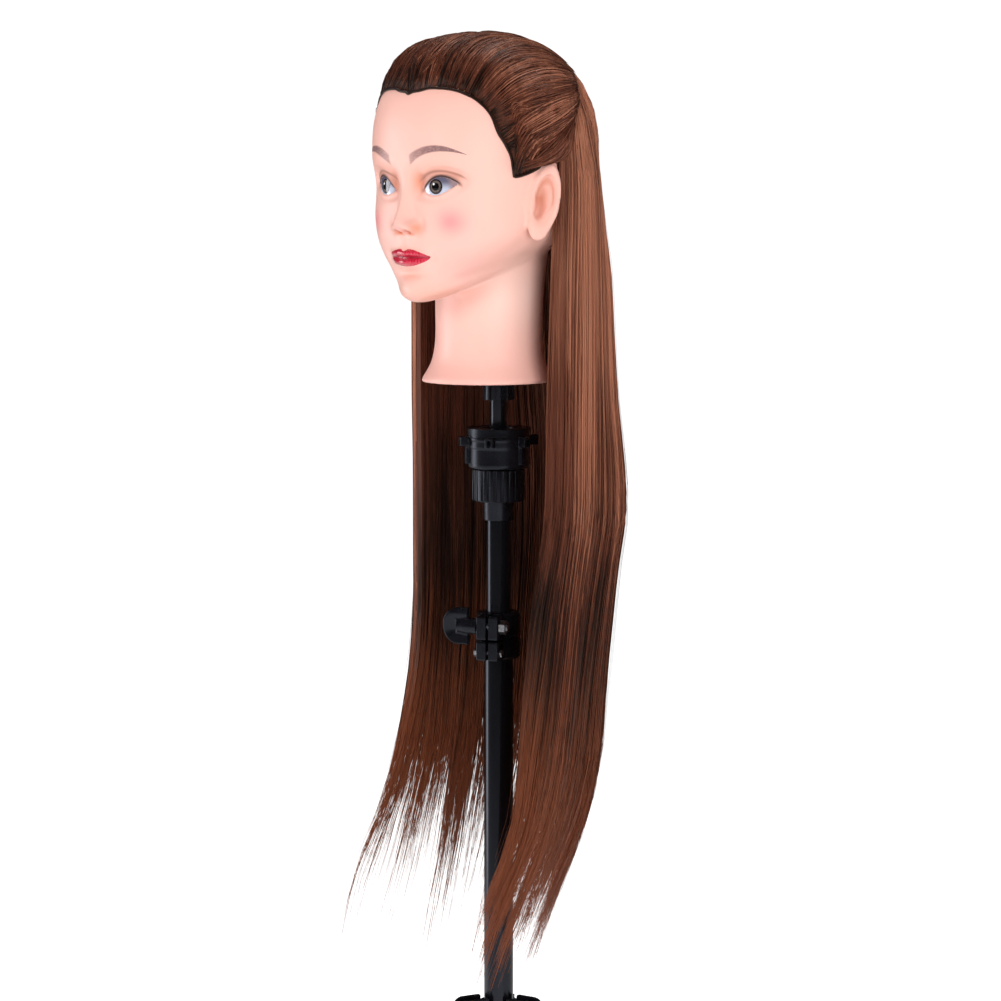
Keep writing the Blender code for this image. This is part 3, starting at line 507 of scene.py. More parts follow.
def skin_finish():
    skin = Finish("skin_vinyl_painted", roughness=0.42)
    x, y, z = skin.xyz()
    h = z - NECK_Z / MM
    side = x.abs()
    front = y.step(-60, -72)
    patch = lambda px, py, rx, ry: ((side - px).gauss(rx)) * ((h - py).gauss(ry))
    tint = skin.noise(9, 3)
    colour = tint.step(0.3, 0.7).colour(srgb(243, 190, 177), srgb(241, 183, 168))
    # painted shade in folds and hollows: nostril wings, under the nose, beside the nose bridge, over the eyes,
    # above the chin and along the jaw
    painted_fold_shade = patch(12.8, 119, 4.0, 4.6) * 0.7 + patch(5.5, 115.5, 3.4, 1.7) + patch(12.5, 153, 5, 8) * 0.75
    painted_fold_shade = painted_fold_shade + patch(30, 160, 17, 8) * 0.35
    painted_fold_shade = painted_fold_shade + patch(0, 84, 13, 4) * 0.3 + patch(30, 66, 30, 9) * 0.45
    colour = (painted_fold_shade * front).math("MINIMUM", 1.0).colour(colour, srgb(222, 134, 100))
    pink = patch(40, 124.5, 9.5, 9.0) * 0.55 + patch(43, 84, 18, 22) * 0.14
    pink = pink + patch(0, 121, 7, 5) * 0.15
    colour = (pink * front).colour(colour, srgb(232, 118, 130))
    lean, flare = math.radians(12), math.radians(20)
    back = (y + 28.5) * math.cos(flare) + (side - 76) * math.sin(flare)
    across = back * math.cos(lean) - (h - 138.5) * math.sin(lean)
    up = back * math.sin(lean) + (h - 138.5) * math.cos(lean)
    ring = ((across / 11.6).power(2) + (up / 27).power(2)).math("SQRT")
    on_ear = side.step(71, 75)
    # painted shade in the ear's groove and in its hollow
    fold = (ring - 0.62).gauss(0.10) * up.step(-6, 2) * on_ear
    colour = (fold * 0.55).colour(colour, srgb(206, 126, 96))
    hollow = on_ear * (across + 2.8).gauss(5.0) * (up + 1).gauss(13)
    colour = (hollow * 0.85).colour(colour, srgb(192, 98, 60))
    # painted light: paler skin on the neck behind the face, lifting its shaded side and back
    painted_neck_light = (h - 66).gauss(42) * y.step(-62, -20) * (1 - on_ear)
    colour = (painted_neck_light * 0.85).colour(colour, srgb(255, 213, 200))
    blush_neck = (h.step(70, 30) * 0.22)
    colour = blush_neck.colour(colour, srgb(242, 172, 160))

    # brows
    reach = (x + 3.0).abs() + 1.0
    middle = 178.8 - (reach - 37).power(2) * 0.0135
    half = (4.6 - (reach - 8) * 0.070).math("MINIMUM", (56.5 - reach) * 0.15).math("MAXIMUM", 0.05)
    away = (h - middle).abs() / half
    strokes = skin.noise(900, 2, (0.35, 1, 1)).step(0.25, 0.6) * 0.25 + 0.75
    fade = reach.step(8, 32) * 0.35 + 0.62
    brow = away.step(1.15, 0.6) * reach.step(10.5, 13.5) * reach.step(56.5, 55) * fade
    colour = (brow * strokes * front).colour(colour, srgb(130, 96, 96))

    # lids: crease line, eye shadow and lash lines; painted shade in the inner corners
    crease = 162.0 - (side - 31).power(2) * 0.0200
    on_crease = (h - crease).gauss(1.15) * side.step(10, 16) * side.step(50.5, 43)
    colour = (on_crease * front * 0.75).colour(colour, srgb(142, 88, 68))
    out = side - EYE[0]
    line = (out + 13.5) * 0.205 - 3.0 + EYE[2]
    arch = 1.0 - ((out + 0.5) / 13.8).power(2)
    upper = line + arch * 7.6
    lower = line - arch * 5.8
    lid = (h - upper).step(0, 0.8) * h.step(162, 158) * side.step(10, 16) * side.step(47, 41)
    colour = (lid * front * 0.5).colour(colour, srgb(176, 116, 98))
    lash = ((h - upper - 0.5).gauss(1.4)) * side.step(14.0, 18) * side.step(46.5, 42)
    colour = (lash * front).math("MINIMUM", 1.0).colour(colour, srgb(48, 30, 30))
    under = ((h - lower + 0.6).gauss(0.7)) * side.step(16, 20) * side.step(43, 40)
    colour = (under * front * 0.35).colour(colour, srgb(190, 140, 128))
    # painted shade in the inner corners of the eyes
    corner = patch(14.6, 147.6, 2.0, 1.8)
    colour = (corner * front * 0.6).colour(colour, srgb(170, 100, 82))

    # lips
    across = side / 21.6
    bow = (1.0 - across * across).math("MAXIMUM", 0.0).power(0.8)
    dip = x.gauss(2.8) * 1.9
    top = bow * 6.4 + 97.9 - dip
    pout = (1.0 - (side / 20.8).power(2)).math("MAXIMUM", 0.0).power(0.7)
    bottom = 97.4 - pout * 7.0
    ragged = (skin.noise(700, 2) - 0.5) * 0.9
    lips = (top - h + ragged).step(0.0, 0.45) * (h - bottom + ragged).step(0.0, 0.45)
    lips = lips * side.step(21.4, 20.6) * front
    streak = skin.noise(1400, 2, (1, 1, 0.15))
    red = streak.step(0.35, 0.75).colour(srgb(184, 16, 42), srgb(222, 66, 92))
    seam = (h - MOUTH_H).gauss(0.6)
    red = (seam * 0.65).colour(red, srgb(110, 8, 26))
    colour = lips.colour(colour, red)
    skin.set("Base Color", colour)
    pores = skin.noise(2600, 2)
    skin.bump(pores * 0.35 + streak * lips * 0.9, 0.00012, 0.5)
    skin.set("Roughness", 0.40 - lips * 0.26)
    skin.set("Coat Weight", lips * 0.6)
    return skin.material


def make_eyes():
    """Curved discs behind the eye openings, front and back faces closed round the rim."""
    rings, sectors = 26, 72
    reach = np.linspace(0, 1, rings)[:, None]
    turn = (np.arange(sectors) * 2 * math.pi / sectors)[None]
    out = 15.6 * reach * np.cos(turn)
    high = 9.6 * reach * np.sin(turn)
    side, h = EYE[0] + out, EYE[2] + high + out * 0.2
    pieces = []
    for name, sign in (("eye_left", 1), ("eye_right", -1)):
        layers = []
        for radius in (EYE_R, EYE_R - 1.5):
            y = BALL[1] - np.sqrt(radius ** 2 - (side - BALL[0]) ** 2 - (h - BALL[2]) ** 2)
            layers.append(np.stack([sign * side, y, h], -1).reshape(-1, 3))
        faces = []
        for i in range(rings - 1):
            for j in range(sectors):
                k = (j + 1) % sectors
                a, b, c, d = i * sectors + j, i * sectors + k, (i + 1) * sectors + k, (i + 1) * sectors + j
                faces += [(a, b, c, d), tuple(rings * sectors + v for v in (d, c, b, a))]
        last = (rings - 1) * sectors
        for j in range(sectors):
            k = (j + 1) % sectors
            faces.append((last + j, last + k, rings * sectors + last + k, rings * sectors + last + j))
        faces = np.array(faces)[:, ::sign]
        points = to_world(np.concatenate(layers))
        pieces.append(mesh_object(name, points, faces, eye_finish(name, sign)))
    return pieces


def eye_finish(name, sign):
    eye = Finish(name + "_paint", roughness=0.06)
    x, _, z = eye.xyz()
    dx = x - sign * (EYE[0] - 2.2)
    dz = z - (NECK_Z / MM + EYE[2] + 0.2)
    away = (dx * dx + dz * dz).math("SQRT")
    spoke = eye.noise(500, 3)
    # the white is darker towards the top: painted shade under the upper lid
    white = dz.step(-2.5, 4.5).colour(srgb(190, 194, 212), srgb(96, 92, 112))
    white = away.step(8.5, 13.0).colour(white, srgb(150, 128, 132))
    ring = (spoke * 0.7 + away * 0.05).step(0.2, 0.75).colour(srgb(58, 47, 44), srgb(112, 98, 92))
    ring = away.step(3.8, 5.0).colour(ring, srgb(26, 20, 22))
    iris = away.step(3.3, 2.7).colour(ring, srgb(5, 4, 5))
    colour = away.step(5.85, 5.45).colour(white, iris)
    # painted highlight: a small white dot on the eye, above the pupil to one side
    glint_x = dx + 1.5
    glint_z = dz - 1.9
    glint = (glint_x * glint_x + glint_z * glint_z).math("SQRT").step(1.0, 0.65)
    colour = glint.colour(colour, srgb(250, 250, 255))
    eye.set("Base Color", colour)
    eye.set("Coat Weight", 0.8)
    return eye.material


# ------------------------------------------------------------------ hairline, cap and welt
HAIRLINE = Profile([(0, 219.4), (3, 221.0), (7, 221.6), (14.6, 223.6), (27.3, 222.3), (34.9, 219), (42.3, 213.1),
                    (49, 202), (52.1, 190.5), (56.6, 180.2), (59.9, 168.8), (61.2, 157.7), (67.3, 159.2),
                    (75.2, 163.2), (82, 168), (90, 168), (96, 140), (104, 118), (120, 100), (180, 88)])
HAIR_AXIS = (0.0, -15.0)


def bearing(x, y):
    """Degrees round the head from the middle of the face, 0 to 180 on either side."""
    return np.degrees(np.arctan2(np.abs(x), HAIR_AXIS[1] - y))


def on_skull(turn, height, offset):
    """Points on the skull at a signed bearing in degrees and a height."""
    a = np.radians(np.asarray(turn, float))
    height = np.asarray(height, float) + 0 * a
    low, high = np.full(a.shape, 2.0), np.full(a.shape, 130.0)
    for _ in range(26):
        mid = (low + high) / 2
        x, y = mid * np.sin(a), HAIR_AXIS[1] - mid * np.cos(a)
        inside = skull(x, y, height) < offset
        low, high = np.where(inside, mid, low), np.where(inside, high, mid)
    return np.stack([low * np.sin(a), HAIR_AXIS[1] - low * np.cos(a), height], -1)


def push_out(points, offset, rounds, reach):
    """Move the points that are closer to the skull than an offset out to it."""
    flat = points.reshape(-1, 3).copy()
    offset = np.broadcast_to(np.asarray(offset, float), points.shape[:-1]).reshape(-1)
    eps = 0.3
    for _ in range(rounds):
        value = skull(*flat.T) - offset
        slope = np.stack([skull(*(flat + step).T) - offset - value for step in np.eye(3) * eps], 1) / eps
        size = np.maximum((slope ** 2).sum(1), 0.15)
        move = np.maximum(-value / size, 0)
        shift = slope * move[:, None]
        length = np.linalg.norm(shift, axis=1, keepdims=True)
        flat += shift * np.minimum(1, reach / np.maximum(length, 1e-9))
    return flat.reshape(points.shape)


def hug(directions, offset):
    """Points at an offset over the skull, along directions from the middle of the head."""
    low = np.full(directions.shape[:-1], 30.0)
    high = np.full(directions.shape[:-1], 150.0)
    for _ in range(16):
        mid = (low + high) / 2
        place = CENTRE + directions * mid[..., None]
        inside = skull(place[..., 0], place[..., 1], place[..., 2]) < offset
        low, high = np.where(inside, mid, low), np.where(inside, high, mid)
    return CENTRE + directions * low[..., None]


def cap_field(x, y, h):
    over = h - HAIRLINE(bearing(x, y))
    body = skull(x, y, h) - 0.4 - 3.2 * smooth_step(over, 0, 30)
    return np.maximum(np.maximum(body, -over), -(skull(x, y, h) + 4.0))


def make_cap():
    axes = (graded([(-90, 2.2), (90, 0)]), graded([(-116, 2.2), (80, 0)]), graded([(78, 2.2), (272, 0)]))
    points, quads = surface_net(cap_field, axes)
    points = settle(cap_field, points, 2)
    return mesh_object("hair_cap", to_world(points), quads, hair_finish("cap_fibre", 0.35, cap=True))


def make_welt():
    turn = np.linspace(-82, 82, 260)
    line = on_skull(turn, HAIRLINE(np.abs(turn)), 0.5)[None]
    return strands("hairline_welt", line, np.full(line.shape[:2], 1.0), np.zeros(1),
                   hair_finish("welt_fibre", 0.05), sides=8, flat=1.0)


# ------------------------------------------------------------------ hair
def unit(v):
    return v / np.maximum(np.linalg.norm(v, axis=-1, keepdims=True), 1e-9)


def strands(name, paths, radius, tone, material, sides=3, flat=0.6):
    """Closed tapering tubes along many paths (n, k, 3), in millimetres above the neck base."""
    n, k = paths.shape[:2]
    along = unit(np.gradient(paths, axis=1))
    outward = paths - np.array([0, -10, 0])
    outward[..., 2] = np.maximum(paths[..., 2] - 150, 0)
    across = unit(np.cross(along, outward))
    lift = np.cross(across, along)
    angle = 2 * math.pi * (np.arange(sides) + 0.25) / sides
    ring = (across[:, :, None] * np.cos(angle)[:, None] + flat * lift[:, :, None] * np.sin(angle)[:, None])
    points = paths[:, :, None] + ring * radius[:, :, None, None]
    index = np.arange(n * k * sides).reshape(n, k, sides)
    a, b = index[:, :-1], index[:, 1:]
    turn = lambda v: np.roll(v, -1, axis=2)
    one = np.stack([a, turn(a), turn(b)], -1).reshape(-1, 3)
    two = np.stack([a, turn(b), b], -1).reshape(-1, 3)
    caps = []
    for i in range(1, sides - 1):
        caps.append(np.stack([index[:, 0, 0], index[:, 0, i + 1], index[:, 0, i]], -1))
        caps.append(np.stack([index[:, -1, 0], index[:, -1, i], index[:, -1, i + 1]], -1))
    faces = np.concatenate([one, two] + caps)
    obj = mesh_object(name, to_world(points.reshape(-1, 3)), faces, material)
    tones = np.broadcast_to(np.asarray(tone, float)[:, None, None], (n, k, sides))
    travel = np.broadcast_to(np.linspace(0, 1, k)[None, :, None], (n, k, sides))
    for label, values in (("tone", tones), ("along", travel)):
        layer = obj.data.attributes.new(label, "FLOAT", "POINT")
        layer.data.foreach_set("value", np.ascontiguousarray(values, dtype=np.float32).ravel())
    return obj


def hair_finish(name, level, cap=False, fall=False):
    """Finish of strands: darker at swept roots with a painted highlight band on the swept hair, painted light on
    the upper fall and painted shade lower down, warmer at the tips.
    """
    hair = Finish(name, roughness=0.40)
    streak = hair.noise(260, 4, (1, 1, 0.03))
    if cap:
        tone = streak * 0.4
    else:
        tone = hair.attribute("tone") * 0.9 + streak * 0.5 + (level - 0.46)
        along = hair.attribute("along")
        if fall:
            x, _, z = hair.xyz()
            h = z - NECK_Z / MM
            fibre = hair.noise(1700, 2, (1, 1, 0.012)) - 0.5
            clump = hair.noise(75, 2, (1, 1, 0.12)) - 0.5
            # painted light on the upper fall and painted shade lower down, the +x side shaded more
            tone = tone + fibre * 0.45 + clump * 0.5 + h.step(-60, 90) * 0.17
            tone = tone - h.step(-30, -260) * (x.step(-20, 20) * 0.20 + 0.40)
        else:
            # roots darker, and a painted highlight band a little past halfway along the swept strands
            tone = tone - along.step(0.28, 0.0) * 0.36 + (along - 0.55).gauss(0.2) * 0.16
        tone = tone.math("MAXIMUM", 0.06)
    low = tone.step(0.0, 0.5).colour(srgb(20, 8, 6), srgb(98, 50, 34))
    colour = tone.step(0.42, 1.1).colour(low, srgb(188, 122, 94))
    if fall:
        colour = (along.step(0.72, 0.98) * 0.8).colour(colour, srgb(150, 80, 50))
    hair.set("Base Color", colour)
    hair.bump(streak, 0.0004, 0.6)
    hair.set("Specular IOR Level", 0.42)
    hair.set("Specular Tint", (1.0, 0.84, 0.70))
    return hair.material


# the line where the swept hair meets the fall, from over the ear to the crown
GATHER = np.array([(75.5, -13, 180), (72.5, 6, 202), (65, 18, 221),
                   (50, 29, 239), (27, 38, 249), (0, 42, 251)], float)
CENTRE = np.array([0, -10, 165.0])  # inside the head, where the swept strands' directions start


def gather_point(share):
    """Place on the line where the swept hair meets the fall: 0 over the ear, 1 at the crown."""
    place = np.clip(share, 0, 1) * (len(GATHER) - 1)
    return np.stack([np.interp(place, np.arange(len(GATHER)), GATHER[:, i]) for i in range(3)], -1)


def swept_paths(count, k, start_range, back, puff):
    """Strands combed from the hairline back over the head to the gather line."""
    edge = np.linspace(*start_range, 400)
    run = np.linalg.norm(np.diff(on_skull(edge, HAIRLINE(np.abs(edge)), 0.4), axis=0), axis=1)
    run = np.concatenate([[0], np.cumsum(run)])
    spot = rng.uniform(0, run[-1], count)
    locks = np.round(spot / 5.2 + 0.3 * rng.standard_normal(count)) * 5.2
    turn = np.interp(spot, run, edge)
    sign = np.sign(turn)
    size = np.abs(turn)
    share = np.interp(size, (0, 15, 28, 42, 52, 60.6, 70, 82), (1, 0.9, 0.78, 0.56, 0.36, 0.16, 0.06, 0.0))
    share = share + 0.035 * np.sin(locks * 1.9)
    root = on_skull(turn, HAIRLINE(size), 0.4)
    step = 0.6
    ahead = on_skull(sign * (size + step), HAIRLINE(size + step), 0.4)
    tangent = unit(ahead - root)
    d0 = unit(root - CENTRE)
    away = unit(np.cross(tangent, d0))
    end = gather_point(share)
    end[:, 0] *= np.where(sign == 0, 1, sign)
    end[:, :2] += 2.0 * np.stack([np.sin(locks), np.cos(1.7 * locks)], -1)
    d2 = unit(end - CENTRE)
    away *= np.where((away * (d2 - d0)).sum(1) < 0, -1.0, 1.0)[:, None]
    d0 = unit(d0 + away * (back * rng.uniform(0, 1, count) ** 2.2)[:, None])
    gap = np.arccos(np.clip((d0 * d2).sum(1), -1, 1))
    d1 = unit(d0 + away * (0.55 * gap)[:, None] + 0.03 * rng.standard_normal((count, 3)))
    t = np.linspace(0, 1, k)[None, :, None]
    path = unit((1 - t) ** 2 * d0[:, None] + 2 * t * (1 - t) * d1[:, None] + t * t * d2[:, None])
    t = t[..., 0]
    rise = np.minimum(puff, 10.5 * gap) * (1 - 0.40 * smooth_step(share, 0.66, 0.96))
    rise = rise[:, None] + 1.1 * np.sin(locks * 2.7)[:, None]
    height = 0.5 + rise * smooth_step(t, -0.02, 0.30) * (1 - 0.58 * smooth_step(t, 0.35, 1.0))
    height = height + 1.3 * rng.uniform(-1.4, 1, (count, 1)) * smooth_step(t, 0.05, 0.4)
    paths = hug(path, np.maximum(height, 0.3))
    tone = 0.36 + 0.20 * np.sin(locks * 3.1) + 0.13 * rng.standard_normal(count)
    tone = tone - 0.14 * smooth_step(size, 48, 62)
    return paths, np.clip(tone, 0, 1)


# the fall: places round the U of hair (near front edge, round the back, far front edge), by height
NET = (
    (1010, (77.5, -13), (76.0, 24), (52, 52), (0, 68), (-52, 52), (-76.0, 24), (-77.5, -13)),
    (970, (77.5, -15), (77.0, 24), (54, 55), (0, 73), (-54, 55), (-77, 24), (-77.5, -15)),
    (930, (76.5, -16), (78.5, 23), (58.5, 59), (0, 80), (-59, 58.5), (-78.5, 23), (-78, -15)),
    (880, (76, -18), (79.5, 23), (60.5, 61), (0, 85), (-62, 60.5), (-79, 24), (-78, -15)),
    (830, (75, -19), (80, 23), (62.5, 63.5), (0, 89), (-63, 62.5), (-79, 24), (-78, -15)),
    (780, (75, -20), (81, 23), (66.5, 67.5), (0, 94), (-64, 65), (-80, 24), (-78, -14)),
    (740, (75, -22), (82, 22), (67.5, 68.5), (0, 95), (-65, 66), (-80, 24), (-78, -14)),
    (700, (74, -30), (80, 17), (64, 64), (0, 93), (-64, 65), (-80, 22), (-78, -14)),
    (670, (73, -36), (79, 12), (62, 61.5), (0, 91), (-63, 63), (-80, 21), (-78, -14)),
    (610, (71, -42), (78, 3), (58.5, 57), (-2, 88), (-61, 59), (-81, 16), (-79, -19)),
    (550, (70, -48), (76, -5), (56.5, 53.5), (-6, 84), (-61, 52), (-82, 10), (-85, -29)),
    (500, (68, -56), (71, -17), (52, 43), (-11, 79), (-63, 42), (-84, -3), (-93, -42)),
    (450, (60, -76), (61, -37), (43, 26), (-18, 70), (-66, 32), (-84, -17), (-105, -60)),
    (400, (53, -86), (50, -52), (35, 8), (-24, 60), (-70, 22), (-88, -32), (-110, -70)),
    (365, (51, -90), (45, -60), (31, -2), (-28, 54), (-72, 18), (-90, -38), (-112, -72)),
)
NET_Z = np.array([row[0] for row in NET], float)[::-1] - 845.0
NET_XY = np.array([row[1:] for row in NET], float)[::-1]


def net_place(u, h):
    """Horizontal place on the U of falling hair at position u (0..1) round it and height h."""
    column = np.clip(u, 0, 1) * (NET_XY.shape[1] - 1)
    i = np.clip(column.astype(int), 0, NET_XY.shape[1] - 2)
    t = column - i
    last = NET_XY.shape[1] - 1
    get = lambda j: np.stack([profile_of(np.clip(j, 0, last), axis, h) for axis in (0, 1)], -1)
    before, first, second, after = get(i - 1), get(i), get(i + 1), get(i + 2)
    t = t[..., None]
    m0, m1 = (second - before) / 2, (after - first) / 2
    return ((1 + 2 * t) * (1 - t) ** 2 * first + t * (1 - t) ** 2 * m0
            + t * t * (3 - 2 * t) * second + t * t * (t - 1) * m1)


def profile_of(column, axis, h):
    """One coordinate of the net's columns at heights h."""
    row = np.clip(np.searchsorted(NET_Z, h) - 1, 0, len(NET_Z) - 2)
    t = np.clip((h - NET_Z[row]) / (NET_Z[row + 1] - NET_Z[row]), 0, 1)
    value = lambda r: NET_XY[np.clip(r, 0, len(NET_Z) - 1), column, axis]
    a, b, c, d = value(row - 1), value(row), value(row + 1), value(row + 2)
    square, cube = 2 * a - 5 * b + 4 * c - d, 3 * b - a - 3 * c + d
    return 0.5 * (2 * b + (c - a) * t + square * t * t + cube * t ** 3)


def fall_paths(count, k, u_range, layer_range, loose=1.0):
    """Long strands from the gather line down the U-shaped curtain."""
    u = rng.uniform(*u_range, count)
    lock_gap = 1 / 30
    lock = (np.floor(u / lock_gap + 0.35 * rng.standard_normal(count)) + 0.5) * lock_gap
    lock = lock + 0.008 * np.sin(lock * 91)
    side = np.where(u < 0.5, 1.0, -1.0)
    share = np.where(u < 0.5, u, 1 - u) * 2
    top = gather_point(share * 1.02 - 0.01)
    top[:, 0] *= side
    far = smooth_step(u, 0.35, 0.75)
    tip = -372.0 - 70 * (1 - far) - 14 * far + (100 + 15 * far) * rng.beta(1.5, 1.25, count)
    tip = tip + 18 * np.sin(lock * 57) + 16 * smooth_step(u, 0.14, 0.02)
    tip = np.where(rng.uniform(size=count) < 0.08 + 0.10 * far, tip - 30 - 50 * far, tip)
    tip = np.clip(tip, -466, -250)
    t = np.linspace(0, 1, k)[None]
    t = 0.55 * t + 0.45 * t ** 1.8
    h = top[:, 2:3] + (tip - top[:, 2])[:, None] * t
    close = smooth_step(-h, 215, 440)
    wander = 0.005 * np.sin(h / 85 + lock[:, None] * 40) + 0.0025 * np.sin(h / 45 + 12 * u[:, None])
    edge = np.minimum(u, 1 - u)[:, None]
    drift = smooth_step(np.sin(h / 90 + lock[:, None] * 60), -1, 1)
    wander = wander + (edge < 0.06) * 0.022 * rng.uniform(0, 1, (count, 1)) * drift
    around = u[:, None] + (lock - u)[:, None] * 0.85 * close
    around = around + wander * smooth_step(-h, -120, 60) + 0.012 * rng.standard_normal((count, 1)) * close
    place = net_place(around, np.minimum(h, 165))
    blend = smooth_step(h, 150, 235)[..., None]
    lead = np.clip((top[:, 2:3] - h) / np.maximum(top[:, 2:3] - 150, 1), 0, 1)[..., None]
    head_way = top[:, None, :2] + (place - top[:, None, :2]) * lead ** 0.8
    place = place + (head_way - place) * np.where(h > 150, 1.0, 0.0)[..., None] * np.minimum(1, blend * 4)
    layer = rng.uniform(*layer_range, count)[:, None]
    thick = (1 - 0.55 * close) * smooth_step(-h, -240, -120)
    radial = unit(place - np.array([0, -5.0]))
    place = place + radial * (layer * thick)[..., None]
    place = place + loose * 1.2 * close[..., None] * rng.standard_normal((count, 1, 2))
    paths = np.concatenate([place, h[..., None]], -1)
    offset = 3.0 + 1.4 * smooth_step(top[:, 2:3] - h, 0, 60) + 0.3 * layer
    offset = np.where(h > 60, offset, 0.0)
    high = paths[..., 2] > 40
    pushed = push_out(paths, np.maximum(offset, 2.2), rounds=8, reach=14)
    paths = np.where(high[..., None], pushed, paths)
    tone = 0.54 + 0.15 * np.sin(lock * 133) + 0.16 * rng.standard_normal(count)
    # painted shade on the strands lying on the inside of the rear and far curtain
    inner = smooth_step(layer[:, 0], 0.5, -2.5) * smooth_step(u, 0.52, 0.66)
    # the near curtain's front edge darker: painted shade and darker hair there
    edge_shade_and_dark_hair = smooth_step(u, 0.085, 0.035)
    return paths, np.clip(tone, 0, 1.1) * (1 - 0.93 * inner) * (1 - 0.45 * edge_shade_and_dark_hair)


def taper(count, k, radius, start=0.78):
    """Radii of tapering strands."""
    t = np.linspace(0, 1, k)[None]
    size = radius * (1 + 0.18 * rng.standard_normal((count, 1)))
    root = 0.5 + 0.5 * smooth_step(t, -0.01, 0.06)
    return np.maximum(size * (1 - 0.82 * smooth_step(t, start, 1.0)) * root, 0.05)


def make_hair():
    heavy = 1.0
    swell = 1.0
    swept, fall = [], []
    for name, limits, count in (("hair_swept_left", (2, 82), 3000), ("hair_swept_right", (-82, -2), 2300),
                                ("hair_swept_front", (-16, 16), 1100)):
        count = int(count * heavy)
        paths, tone = swept_paths(count, 14, limits, 0.55, 7.4)
        radius = taper(count, 14, 0.50 * swell, 0.9)
        swept.append(strands(name, paths, radius, tone, hair_finish(name, 0.40)))
    for name, limits, count in (("hair_fall_near", (0, 0.30), 1800), ("hair_fall_rear", (0.26, 0.74), 2300),
                                ("hair_fall_far", (0.70, 1.0), 1500)):
        count = int(count * heavy)
        paths, tone = fall_paths(count, 24, limits, (-5.5, 3.5))
        radius = taper(count, 24, 0.54 * swell)
        fall.append(strands(name, paths, radius, tone, hair_finish(name, 0.44, fall=True)))
    count = int(320 * heavy)
    paths, tone = fall_paths(count, 24, (0, 1), (-9, 5), loose=2.5)
    sway = rng.standard_normal((count, 1, 2)) * smooth_step(-paths[..., 2:3], -60, 420) * 3.5
    paths[..., :2] += sway
    finish = hair_finish("hair_flyaway", 0.4, fall=True)
    fall.append(strands("hair_flyaway", paths, taper(count, 24, 0.2), tone, finish))
    return swept, fall


# ------------------------------------------------------------------ stand pieces, in metres
def soften(profile, radius, steps=3):
    """Round every corner of a closed (r, z) loop."""
    points = np.array(profile, float)
    out = []
    for i, corner in enumerate(points):
        before, after = points[i - 1] - corner, points[(i + 1) % len(points)] - corner
        reach = min(radius, 0.45 * np.linalg.norm(before), 0.45 * np.linalg.norm(after))
        if corner[0] < 1e-6 or reach < 1e-6:
            out.append(corner)
            continue
        first, last = corner + unit(before) * reach, corner + unit(after) * reach
        for t in np.linspace(0, 1, steps + 1):
            out.append((1 - t) ** 2 * first + 2 * t * (1 - t) * corner + t * t * last)
    return np.array(out)


def stand_piece(name, points, faces, material, smooth_angle, place):
    """Mesh moved to its frame, standing in for the CAD node it is named after."""
    if place is not None:
        points = points @ np.array(place.to_3x3()).T + np.array(place.translation)
    obj = mesh_object(name, points, faces, material, smooth_angle)
    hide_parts(name.removesuffix("_look"))
    return obj


def revolve(name, profile, material, sectors=96, round_off=0.0005, place=None, wave=None):
    """Turn a closed (r, z) loop about the axis; wave(turn, z, r) may change the radius."""
    loop = soften(profile, round_off)
    turn = np.arange(sectors) * 2 * math.pi / sectors
    r = np.broadcast_to(loop[:, 0][:, None], (len(loop), sectors))
    z = np.broadcast_to(loop[:, 1][:, None], (len(loop), sectors))
    if wave is not None:
        r = r + wave(turn[None], z, r)
    points = np.stack([r * np.cos(turn), r * np.sin(turn), z], -1).reshape(-1, 3)
    index = np.arange(len(points)).reshape(len(loop), sectors)
    across, up = np.roll(index, -1, 1), np.roll(index, -1, 0)
    faces = np.stack([index, across, np.roll(across, -1, 0), up], -1).reshape(-1, 4)
    area = np.sum(loop[:, 0] * np.roll(loop[:, 1], -1) - np.roll(loop[:, 0], -1) * loop[:, 1])
    if area < 0:
        faces = faces[:, ::-1]
    return stand_piece(name, points, faces, material, 40, place)


def sculpt(name, field, low, high, step, material, place=None):
    """Closed mesh of a field given in millimetres, in a local frame."""
    axes = [np.arange(a, b + step, step) for a, b in zip(low, high)]
    points, quads = surface_net(field, axes)
    return stand_piece(name, settle(field, points, 2) * MM, quads, material, 50, place)


def block(x, y, z, low, high, round_off=1.0):
    """Rounded box."""
    middle = [(a + b) / 2 for a, b in zip(low, high)]
    half = [(b - a) / 2 - round_off for a, b in zip(low, high)]
    gap = [np.abs(v - m) - w for v, m, w in zip((x, y, z), middle, half)]
    outer = np.sqrt(sum(np.maximum(g, 0) ** 2 for g in gap))
    return outer + np.minimum(np.maximum(np.maximum(gap[0], gap[1]), gap[2]), 0) - round_off


def ring_band(x, y, z, inner, outer, low, high, round_off=0.6):
    """Rounded ring about the z axis."""
    r = np.hypot(x, y)
    a = np.abs(r - (inner + outer) / 2) - (outer - inner) / 2 + round_off
    b = np.abs(z - (low + high) / 2) - (high - low) / 2 + round_off
    return np.hypot(np.maximum(a, 0), np.maximum(b, 0)) + np.minimum(np.maximum(a, b), 0) - round_off


def frame_at(place, turns):
    """Frame at a place with the CAD's Euler turns."""
    return Matrix.Translation(place) @ Euler(turns).to_matrix().to_4x4()


def polar(radius, heading, z):
    return (radius * math.cos(heading), radius * math.sin(heading), z)


